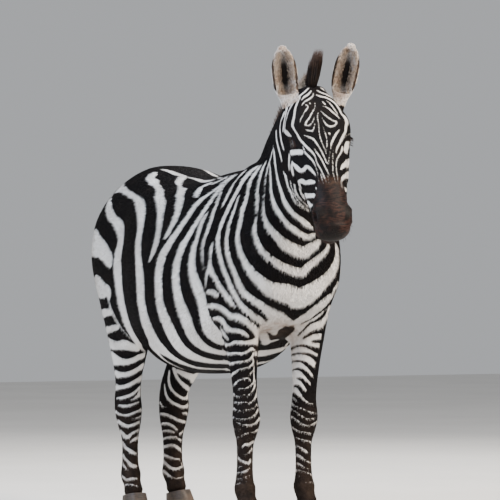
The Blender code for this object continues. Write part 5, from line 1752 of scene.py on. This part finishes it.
FACE_WHITE = """
308.6,88,0.8 305.6,91,0.9 301,94.8,0.9 297.4,98,1 293.9,102,1 290.9,106.8,0.9 288.3,112,0.9 287,116.8,0.8
285.6,122,0.8 284.8,127.4,0.8;
300,97.4,0.8 298,101.5,0.9 296,106,1.1 294.8,111,1.3 294.2,116,1.4 293,121.5,1.6 292.4,125,1.5
294.5,129.8,1.2 297.4,134.5,1.2 300.4,139.8,1.4 304.7,144.7,1.6 309.4,149.4,1.6 313,153,1.3 315.3,157,1
316.5,161.8,0.9 318.8,165.9,1 321.2,170,1 323.5,175.3,1 325.9,181,0.8 327,184,0.5;
311,91,1 308.6,93.9,1.3 304.5,96.8,1.2 301.5,99.8,0.6;
313.6,93,0.9 312.4,96.2,1 309.2,98.9,1.1 304.5,101.8,0.9 301.5,105.6,0.5;
309.8,103,0.9 310.3,103.4,0.8;
305.6,104.5,0.7 308,106.2,0.9 306.2,109.8,1.1 304.5,112,0.7 302.7,115.6,0.8 300.4,119.8,0.7 299.8,122.7,0.4;
314.8,102.7,0.5 315,106.8,0.6 313.3,110.4,0.9 311.2,113.9,1.1 309.2,118,1.1 306.2,122,1.2 305.4,124.5,1.2
308,125.4,0.9 311,124,0.9 313.3,120.4,0.8 314.5,115.6,0.4;
315,122.7,0.4 313.9,127.4,0.9 312.7,130.4,1.1 309.2,130.6,1 306,129.8,0.7;
304.2,135.4,0.6 308.6,136.8,1.1 312.7,138.6,1.3 316.2,142.7,1.2 318.6,146.3,1 321.2,150.6,1 324,156.5,1
326.5,161.8,0.9 328,164,0.7 328.8,160.6,0.7 329.4,155.3,0.5 330,151,0.4;
318.6,111.8,0.5 317.4,115,0.8 318,120.4,0.8 318.6,125,0.8 319.2,131,0.8 320,136.8,0.9 321.8,142,0.9
323.6,146.4,0.8 325.3,150.6,0.7 326.2,153.5,0.5;
322.7,126.2,0.4 324.5,131,0.7 326,135.6,0.9 326.8,141,0.8 326.8,146.8,0.8 326.5,152.4,0.4;
320.6,111,0.5 324.5,114.5,0.8 328.6,117.7,0.9 332.7,120.4,0.9 336.5,121.8,1.2 335,125,1.2 331.5,126.2,1.2
327.4,125.4,1.1 324.5,122,0.8 322.7,119.2,0.5 321.2,116.5,0.3;
329.2,133.3,1.3 329.8,133.6,1.2;
339.5,129.2,0.8 336.2,133.9,1.5 333.3,139.2,1.5 331.2,144.5,1.1 330.7,149,0.5;
316.8,95,0.8 320.9,96.5,1 325.6,97.4,0.9 330.4,99.8,0.9 334.5,102.7,1 337.4,106.2,1 339.8,110.4,0.9
341.5,113.9,0.9 345,117.4,1.4 346.5,121,1.7 346,126.2,1.5 345.4,131,1.4 343.3,135.6,1.5 341,140.4,1.5
338.7,144.9,1.3 337,148.2,1.2 335.9,152.4,0.8;
317.1,90.4,0.7 321,92.4,0.9 325.6,94.2,0.8 329.8,96.2,0.7 334.5,99.5,0.4;
320.4,87.7,0.6 324.5,90,0.9 329.2,93.3,0.9 333.9,96,0.9 338,99.2,0.8;
322.7,101.8,0.7 325,104,1;
323.3,106,0.5 328,108,0.9 332,111.5,1 336.2,115,0.9 340,118.9,0.5;
326.2,100.4,0.4 329.8,103.3,0.7 332.7,106.8,0.8 335.6,111,0.8 338,114.5,0.5;
345.6,112.7,0.8 349.8,118,1;
343.5,139,0.5 346,136,0.5 350,133.5,0.5;
347,147.5,3.2 345,150.5,2;
342.4,146.5,0.9 341.2,151.8,1.1 338.8,155.9,1 337,159.4,0.9 336.2,164.7,0.8 336.5,170.6,0.8 337.6,177.6,0.7
338.2,182.4,0.5;
333.8,148.8,0.4 332.9,154,0.7 332.6,159.4,0.7 332.9,166.5,0.8 333.2,173,0.8 334.7,178.8,0.7 335.9,183.5,0.5;
352,160.5,3.5 347.5,162.8,2.6 343.5,165.3,2.2 340.8,169,1.2;
351,174.5,3.4 346.5,175.5,2.3 343,177.5,2 341.5,181,1.2 342,187,1.2;
348,189.5,2.5 344,189.5,2.8;
291.5,152.5,3.4 297,152,3.2 301.5,152,3.2;
303,146.5,0.6 305.3,152.4,1.1 309.4,157,1.4 313,161,1.2 315.3,165.3,0.9 317,170.6,0.7 318.2,175.3,0.5;
292.4,162.4,1.2 291.8,168.2,1.3 292.6,174,1.2 293.5,180,1.2 294.7,185.9,1.2 295.9,191.8,1.2 298.8,197,1.1
302.4,201.2,1 305.9,204.7,1 309.4,207.6,0.8;
293.5,164,1.4 297,167.6,2.4 300.6,170.6,2.4 304,169.4,2.2 306.5,166.5,2 310.6,169,2 313.5,172.4,1.5
315.9,175.9,0.8;
298.5,181.5,1.8 301.5,181,2.8 305.5,182.5,2.3 310,181.8,3 314,182,2;
299.4,184.7,1.3 300.3,190,1.3 302.4,195.3,1.3 305.3,199.4,1 309,203,0.8;
304,195.5,2.4 309,195.5,2.7 314,195.5,2.7;
308,203,1.5 310.5,205,1.8 313.5,204.3,1;
316,188,1.2 316.5,188.3,1.1;
289.4,154.7,0.9 288.8,163.5,0.8 289,170.6,0.7 290,177.6,0.8 291.2,184.7,0.9 293,191.8,0.9 295.9,197.6,0.9
300,203,0.9 303.5,205.9,0.9 308.2,210,1.5;
314,148.2,0.7 317.6,153.5,1 321.2,158.8,1.1 324,164.7,1 326.5,169.4,1 328.8,174,0.7;
320.6,173,0.7 321.8,178.2,0.8 323.5,183.5,0.6;
317.5,176,0.5 319,182,0.5;
327.6,175.3,0.7 328.5,180,0.6 329,184,0.5;
330.6,178.8,0.5 330.9,183.5,0.5;
285,131,1.4 288,133.5,1.4 291,136,1
"""


# Strokes of painted shade, placed the same way: dark in the nostrils and along the line of the mouth.
MUZZLE_PAINTED_SHADE = """
318.2,208,1.4 316.8,211.5,2.6 317.0,215.5,2.8 319.0,219,1.6;
347.2,207.5,1.4 348.2,211,2.4 347.8,215.5,2.6 345.8,218.8,1.5;
318.5,231.8,0.8 321,234.6,1.1 326,236.8,1.2 332,237.8,1.2 338,236.8,1.2 342,234.6,1.1 345,231.8,0.8
"""


# ---- Materials ----


class Graph:
    """Builds one material's nodes."""

    def __init__(self, name, roughness, **shader):
        self.material = bpy.data.materials.new(name)
        self.material.use_nodes = True
        self.nodes = self.material.node_tree.nodes
        self.links = self.material.node_tree.links
        self.shader = self.nodes["Principled BSDF"]
        self.shader.inputs["Roughness"].default_value = roughness
        for key, value in shader.items():
            self.shader.inputs[key.replace("_", " ")].default_value = value

    def put(self, socket, value):
        if isinstance(value, bpy.types.NodeSocket):
            self.links.new(value, socket)
        elif isinstance(value, tuple) and socket.type == "RGBA":
            socket.default_value = (*value, 1)
        else:
            socket.default_value = value

    def attribute(self, name):
        node = self.nodes.new("ShaderNodeAttribute")
        node.attribute_name = name
        return node.outputs["Fac"]

    def place(self):
        return self.nodes.new("ShaderNodeTexCoord").outputs["Object"]

    def noise(self, scale, detail=2.0, stretch=None):
        node = self.nodes.new("ShaderNodeTexNoise")
        node.inputs["Scale"].default_value = scale
        node.inputs["Detail"].default_value = detail
        where = self.place()
        if stretch:
            mapping = self.nodes.new("ShaderNodeMapping")
            mapping.inputs["Scale"].default_value = stretch
            self.links.new(where, mapping.inputs["Vector"])
            where = mapping.outputs["Vector"]
        self.links.new(where, node.inputs["Vector"])
        return node.outputs["Fac"]

    def math(self, kind, a, b=0.0):
        node = self.nodes.new("ShaderNodeMath")
        node.operation = kind
        self.put(node.inputs[0], a)
        self.put(node.inputs[1], b)
        return node.outputs[0]

    def span(self, value, low, high, to_low=0.0, to_high=1.0):
        node = self.nodes.new("ShaderNodeMapRange")
        node.interpolation_type = "SMOOTHSTEP"
        for key, number in [("From Min", low), ("From Max", high), ("To Min", to_low), ("To Max", to_high)]:
            node.inputs[key].default_value = number
        self.put(node.inputs["Value"], value)
        return node.outputs["Result"]

    def mix(self, share, a, b, kind="MIX"):
        node = self.nodes.new("ShaderNodeMix")
        node.data_type = "RGBA"
        node.blend_type = kind
        self.put(node.inputs[0], share)
        self.put(node.inputs[6], a)
        self.put(node.inputs[7], b)
        return node.outputs[2]

    def bump(self, height, strength, distance):
        node = self.nodes.new("ShaderNodeBump")
        node.inputs["Strength"].default_value = strength
        node.inputs["Distance"].default_value = distance
        self.put(node.inputs["Height"], height)
        self.links.new(node.outputs["Normal"], self.shader.inputs["Normal"])

    def finish(self, colour, roughness=None):
        self.put(self.shader.inputs["Base Color"], colour)
        if roughness is not None:
            self.put(self.shader.inputs["Roughness"], roughness)
        return self.material


WHITE_HAIR = (0.76, 0.735, 0.71)
WHITE_SHADE = (0.54, 0.515, 0.49)
DARK_HAIR = (0.0030, 0.0026, 0.0030)
DARK_WORN = (0.012, 0.008, 0.0065)
DUST_AND_SHADE = (0.26, 0.155, 0.090)
MUZZLE_SKIN = (0.0045, 0.0035, 0.0035)
PATCH_BROWN = (0.045, 0.022, 0.013)


def coat_material(name, tufts):
    """Striped hair: dark and white parted by the stripe distance, with soft worn edges, dust low down, brown
    painted shade on the chest, bare dark skin where there is no hair, painted shade near black in the
    hollows, and the grain of short hair."""
    g = Graph(name, 0.72, Specular_IOR_Level=0.08)
    edge = g.math("ADD", g.attribute("stripe"), g.span(g.noise(240.0, 3.0), 0.2, 0.8, -0.0011, 0.0011))
    if tufts:
        edge = g.math("ADD", edge, g.span(g.attribute("tint"), 0.0, 1.0, -0.0006, 0.0006))
    white = g.span(edge, -0.0009, 0.0009)
    blotch = g.noise(9.0, 4.0)
    fine = g.noise(420.0, 2.0)
    pale = g.mix(g.span(blotch, 0.35, 0.75), WHITE_HAIR, WHITE_SHADE)
    pale = g.mix(g.span(fine, 0.35, 0.75, 0.0, 0.45), pale, WHITE_SHADE)
    dark = g.mix(g.span(g.noise(14.0, 4.0), 0.45, 0.8, 0.0, 0.55), DARK_HAIR, DARK_WORN)
    dark = g.mix(g.span(fine, 0.5, 0.8, 0.0, 0.5), dark, DARK_WORN)
    if tufts:
        dark = g.mix(g.span(g.attribute("tint"), 0.6, 1.0, 0.0, 0.45), dark, DARK_WORN)
        pale = g.mix(g.span(g.attribute("tint"), 0.0, 0.45, 0.40, 0.0), pale, WHITE_SHADE)
    colour = g.mix(white, dark, pale)
    # The warm share brings in dust low on the body and on the belly, the tan inside the ears, and brown
    # painted shade on the chest between the forelegs.
    dusty = g.math("MULTIPLY", g.attribute("warm"), g.span(g.noise(30.0, 4.0), 0.25, 0.75, 0.15, 0.85))
    colour = g.mix(dusty, colour, g.mix(white, (0.060, 0.038, 0.026), DUST_AND_SHADE))
    brown = g.math("MULTIPLY", g.attribute("patch"), g.span(g.noise(90.0, 3.0), 0.2, 0.8, 0.3, 1.0))
    colour = g.mix(brown, colour, PATCH_BROWN)
    pores = g.noise(700.0, 2.0)
    creases = g.noise(110.0, 4.0, (0.5, 0.5, 2.2))
    ruddy = g.mix(g.span(g.noise(26.0, 3.0), 0.35, 0.65), (0.007, 0.005, 0.0045), (0.036, 0.016, 0.012))
    skin = g.mix(g.span(creases, 0.35, 0.62), MUZZLE_SKIN, ruddy)
    skin = g.mix(g.span(pores, 0.4, 0.7, 0.0, 0.5), skin, MUZZLE_SKIN)
    bare = g.math("MULTIPLY", g.attribute("bare"), g.math("SUBTRACT", 1.0, g.math("MULTIPLY", brown, 0.85)))
    colour = g.mix(bare, colour, skin)
    # Painted shade: where deep is set, in the nostrils, along and inside the mouth, inside the eye openings
    # and in the hollows of the ears, the colour goes near black.
    hollow = g.mix(g.span(fine, 0.4, 0.7), (0.0025, 0.002, 0.002), (0.012, 0.008, 0.006))
    colour = g.mix(g.attribute("deep"), colour, hollow)
    grain = g.noise(900.0, 2.0, (1.0, 0.35, 0.35))
    g.bump(grain, 0.5, 0.0011)
    return g.finish(colour, g.span(g.attribute("bare"), 0.0, 1.0, 0.72, 0.50))


def mane_material():
    """Standing hair in the neck's bands, its tips brown."""
    g = Graph("mane_hair", 0.62, Specular_IOR_Level=0.1)
    edge = g.math("ADD", g.attribute("stripe"), g.span(g.noise(300.0), 0.2, 0.8, -0.002, 0.002))
    white = g.span(edge, -0.001, 0.001)
    pale = g.mix(g.attribute("tint"), (0.50, 0.43, 0.36), (0.66, 0.60, 0.53))
    dark = g.mix(g.attribute("tint"), (0.006, 0.005, 0.005), (0.022, 0.014, 0.010))
    colour = g.mix(white, dark, pale)
    worn = g.span(g.attribute("tint"), 0.0, 1.0, 0.55, 1.0)
    tips = g.math("MULTIPLY", g.span(g.attribute("along"), 0.45, 1.0), worn)
    colour = g.mix(tips, colour, (0.050, 0.022, 0.012))
    return g.finish(colour)


def hair_material(name, dark, light, tip, roughness=0.5):
    g = Graph(name, roughness, Specular_IOR_Level=0.1)
    colour = g.mix(g.attribute("tint"), dark, light)
    colour = g.mix(g.span(g.attribute("along"), 0.5, 1.0), colour, tip)
    colour = g.mix(g.span(g.noise(60.0, 3.0), 0.3, 0.8, 0.0, 0.5), colour, dark)
    return g.finish(colour)


def eye_material():
    """A dark brown iris with a darker wide pupil, under a wet surface."""
    g = Graph("wet_eye", 0.06, Specular_IOR_Level=0.6, Coat_Weight=0.8, Coat_Roughness=0.02)
    off = g.attribute("off_axis")
    iris = g.mix(g.span(g.noise(500.0, 3.0), 0.3, 0.7), (0.020, 0.009, 0.005), (0.050, 0.022, 0.010))
    colour = g.mix(g.span(off, 0.30, 0.42), (0.003, 0.003, 0.004), iris)
    colour = g.mix(g.span(off, 0.86, 0.98), colour, (0.016, 0.010, 0.008))
    return g.finish(colour)


def hoof_material():
    """Dusty horn with fine growth rings and long scratches."""
    g = Graph("hoof_horn", 0.6, Specular_IOR_Level=0.35)
    rings = g.noise(36.0, 3.0, (1.0, 1.0, 6.0))
    streaks = g.noise(160.0, 3.0, (1.0, 1.0, 0.15))
    colour = g.mix(g.span(rings, 0.3, 0.7), (0.018, 0.014, 0.012), (0.045, 0.034, 0.027))
    colour = g.mix(g.span(streaks, 0.45, 0.75, 0.0, 0.5), colour, (0.080, 0.056, 0.040))
    colour = g.mix(g.span(g.noise(22.0, 4.0), 0.4, 0.7, 0.0, 0.6), colour, (0.105, 0.070, 0.047))
    g.bump(g.math("ADD", rings, g.math("MULTIPLY", streaks, 0.4)), 0.5, 0.0015)
    return g.finish(colour, g.span(streaks, 0.3, 0.7, 0.5, 0.75))


def skin_material(name, dark, light, roughness):
    g = Graph(name, roughness, Specular_IOR_Level=0.5, Coat_Weight=0.15, Coat_Roughness=0.25)
    pores = g.noise(900.0, 3.0)
    g.bump(pores, 0.4, 0.0006)
    return g.finish(g.mix(g.span(pores, 0.3, 0.7), dark, light))


def floor_material():
    g = Graph("pale_floor", 0.85, Specular_IOR_Level=0.2)
    return g.finish(g.mix(g.span(g.noise(1.2, 3.0), 0.3, 0.7), (0.66, 0.645, 0.62), (0.70, 0.685, 0.66)))


def wear(piece, material):
    piece.data.materials.clear()
    piece.data.materials.append(material)


# ---- Studio ----


def area_light(name, place, target, size, watts, colour):
    light = bpy.data.lights.new(name, "AREA")
    light.shape = "DISK"
    light.size = size
    light.energy = watts
    light.color = colour
    lamp = placed(name, light)
    lamp.location = place
    lamp.rotation_euler = (Vector(target) - Vector(place)).to_track_quat("-Z", "Y").to_euler()


def studio():
    """A pale floor, a soft warm key from the photograph's right, cool fill from its left and above."""
    bm = bmesh.new()
    bmesh.ops.create_grid(bm, x_segments=2, y_segments=2, size=14.0)
    floor = bmesh_object("floor", bm)
    wear(floor, floor_material())
    middle = Vector((0, 0.05, 0.9))
    toward = Vector(-AWAY)
    right = Vector(TO_RIGHT)
    for name, place, size, watts, colour in [
        ("key", toward * 3.0 + right * 4.2 + Vector((0, 0, 3.2)), 2.6, 720, (1.0, 0.88, 0.74)),
        ("fill", toward * 3.6 - right * 4.0 + Vector((0, 0, 2.0)), 3.6, 520, (0.72, 0.83, 1.0)),
        ("top", Vector((0, 0, 4.6)), 4.0, 340, (0.95, 0.97, 1.0)),
        ("back", toward * -4.2 + right * 1.0 + Vector((0, 0, 3.0)), 3.0, 220, (1.0, 0.96, 0.9)),
    ]:
        area_light(name, middle + place, middle, size, watts, colour)
    world = bpy.data.worlds.new("pale")
    world.use_nodes = True
    world.node_tree.nodes["Background"].inputs["Color"].default_value = (0.80, 0.82, 0.85, 1)
    world.node_tree.nodes["Background"].inputs["Strength"].default_value = 0.55
    bpy.context.scene.world = world


def camera():
    data = bpy.data.cameras.new("camera")
    data.sensor_width = data.sensor_height = 36.0
    data.sensor_fit = "HORIZONTAL"
    data.lens = 36.0 * FOCUS / PHOTO_SIZE
    data.clip_end = 100
    piece = placed("camera", data)
    piece.location = Vector(EYEPOINT) + SHIFT
    piece.rotation_euler = Vector(AWAY).to_track_quat("-Z", "Y").to_euler()
    bpy.context.scene.camera = piece


# ---- The whole animal ----

SKIN_NODES = ["torso", "neck", "head", "muzzle", "tail"]
SKIN_NODES += [f"ear_{name}" for name in SIDES]
SKIN_NODES += [f"leg_{kind}_{name}" for kind, name in LEGS]


def carried(piece, material, slot, *nodes):
    """The piece rides on the animal, and stands for these CAD nodes."""
    wear(piece, material)
    if nodes:
        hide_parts(*nodes)
    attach(piece, "root")


def part_tree(points, corners, keep):
    faces = corners[keep[corners].all(1)]
    return BVHTree.FromPolygons(points.tolist(), faces.tolist())


def main():
    whole = flesh(body_parts() + head_parts())
    skin = skin_mesh(skin_field(whole))
    open_face(skin, whole)
    points, normals, corners = read_mesh(skin)
    hind_left = on_hind_left(points)
    on_face = ahead_of_joint(points) > -0.03
    trees = [part_tree(points, corners, keep) for keep in (~hind_left, hind_left, on_face)]
    all_tree = part_tree(points, corners, np.ones(len(points), bool))
    stripe = stripe_distance(points, normals, trees)
    stripe, bare, warm, patch, deep = marks(points, normals, stripe)
    # Painted shade: the strokes darken the nostrils and the line of the mouth near black.
    painted_hollow_shade = covered(points, brush_group(trees[-1], MUZZLE_PAINTED_SHADE))
    deep = np.maximum(deep, smooth(painted_hollow_shade, -0.0035, 0.0015) * on_face)
    inner = -whole(points) - coat_depth(points)
    shut = inner > 0.0012
    bare = np.maximum(bare, shut * (in_head(points)[:, 1] > 0.1) * (ahead_of_joint(points) > 0))
    # Painted shade: the walls that the cuts leave inside the mouth and the eye openings are coloured near
    # black too.
    deep = np.maximum(deep, shut)
    values = {"stripe": stripe, "bare": bare, "warm": warm, "patch": patch, "deep": deep}
    set_values(skin, **values)
    set_bake_map(skin, unwrapped(points))
    skin.data.transform(Matrix.Translation(SHIFT))
    skin.data.shade_smooth()
    carried(skin, coat_material("striped_skin", False), "coat", *SKIN_NODES)

    coat = coat_material("striped_coat", True)
    for piece in grow_coat(skin, values, shut):
        carried(piece, coat, "coat")

    lookup = point_tree(points)

    def stripe_at(places):
        return np.array([stripe[lookup.find(p)[1]] for p in places.tolist()])

    carried(mane_hairs(whole, stripe_at), mane_material(), "mane_hair", "mane")
    black = hair_material("dark_hair", (0.006, 0.005, 0.005), (0.022, 0.014, 0.010), (0.035, 0.018, 0.012))
    carried(forelock_hairs(whole), black, "dark_hair", "forelock")
    carried(tail_hairs(), black, "dark_hair", "tail_tuft")
    cream = hair_material("ear_hair", (0.13, 0.085, 0.055), (0.52, 0.44, 0.36), (0.34, 0.25, 0.18), 0.6)
    carried(ear_hairs(all_tree), cream, "coat")
    carried(whiskers(all_tree), black, "dark_hair")
    lid = skin_material("lid_skin", (0.010, 0.008, 0.008), (0.022, 0.017, 0.016), 0.38)
    for name, side in SIDES.items():
        carried(eye_piece(f"wet_eye_{name}", side), eye_material(), "eyeball", f"eye_{name}")
        rim = tube_along(f"lid_{name}", lid_ring(side, EYE_RADIUS + LID_THICKNESS * 0.62), 0.0019)
        carried(rim, lid, "muzzle_skin")
        carried(lashes(f"lashes_{name}", side), black, "dark_hair")
    horn = hoof_material()
    for kind, name in LEGS:
        wear(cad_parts[f"hoof_{kind}_{name}"], horn)
    studio()
    camera()


main()
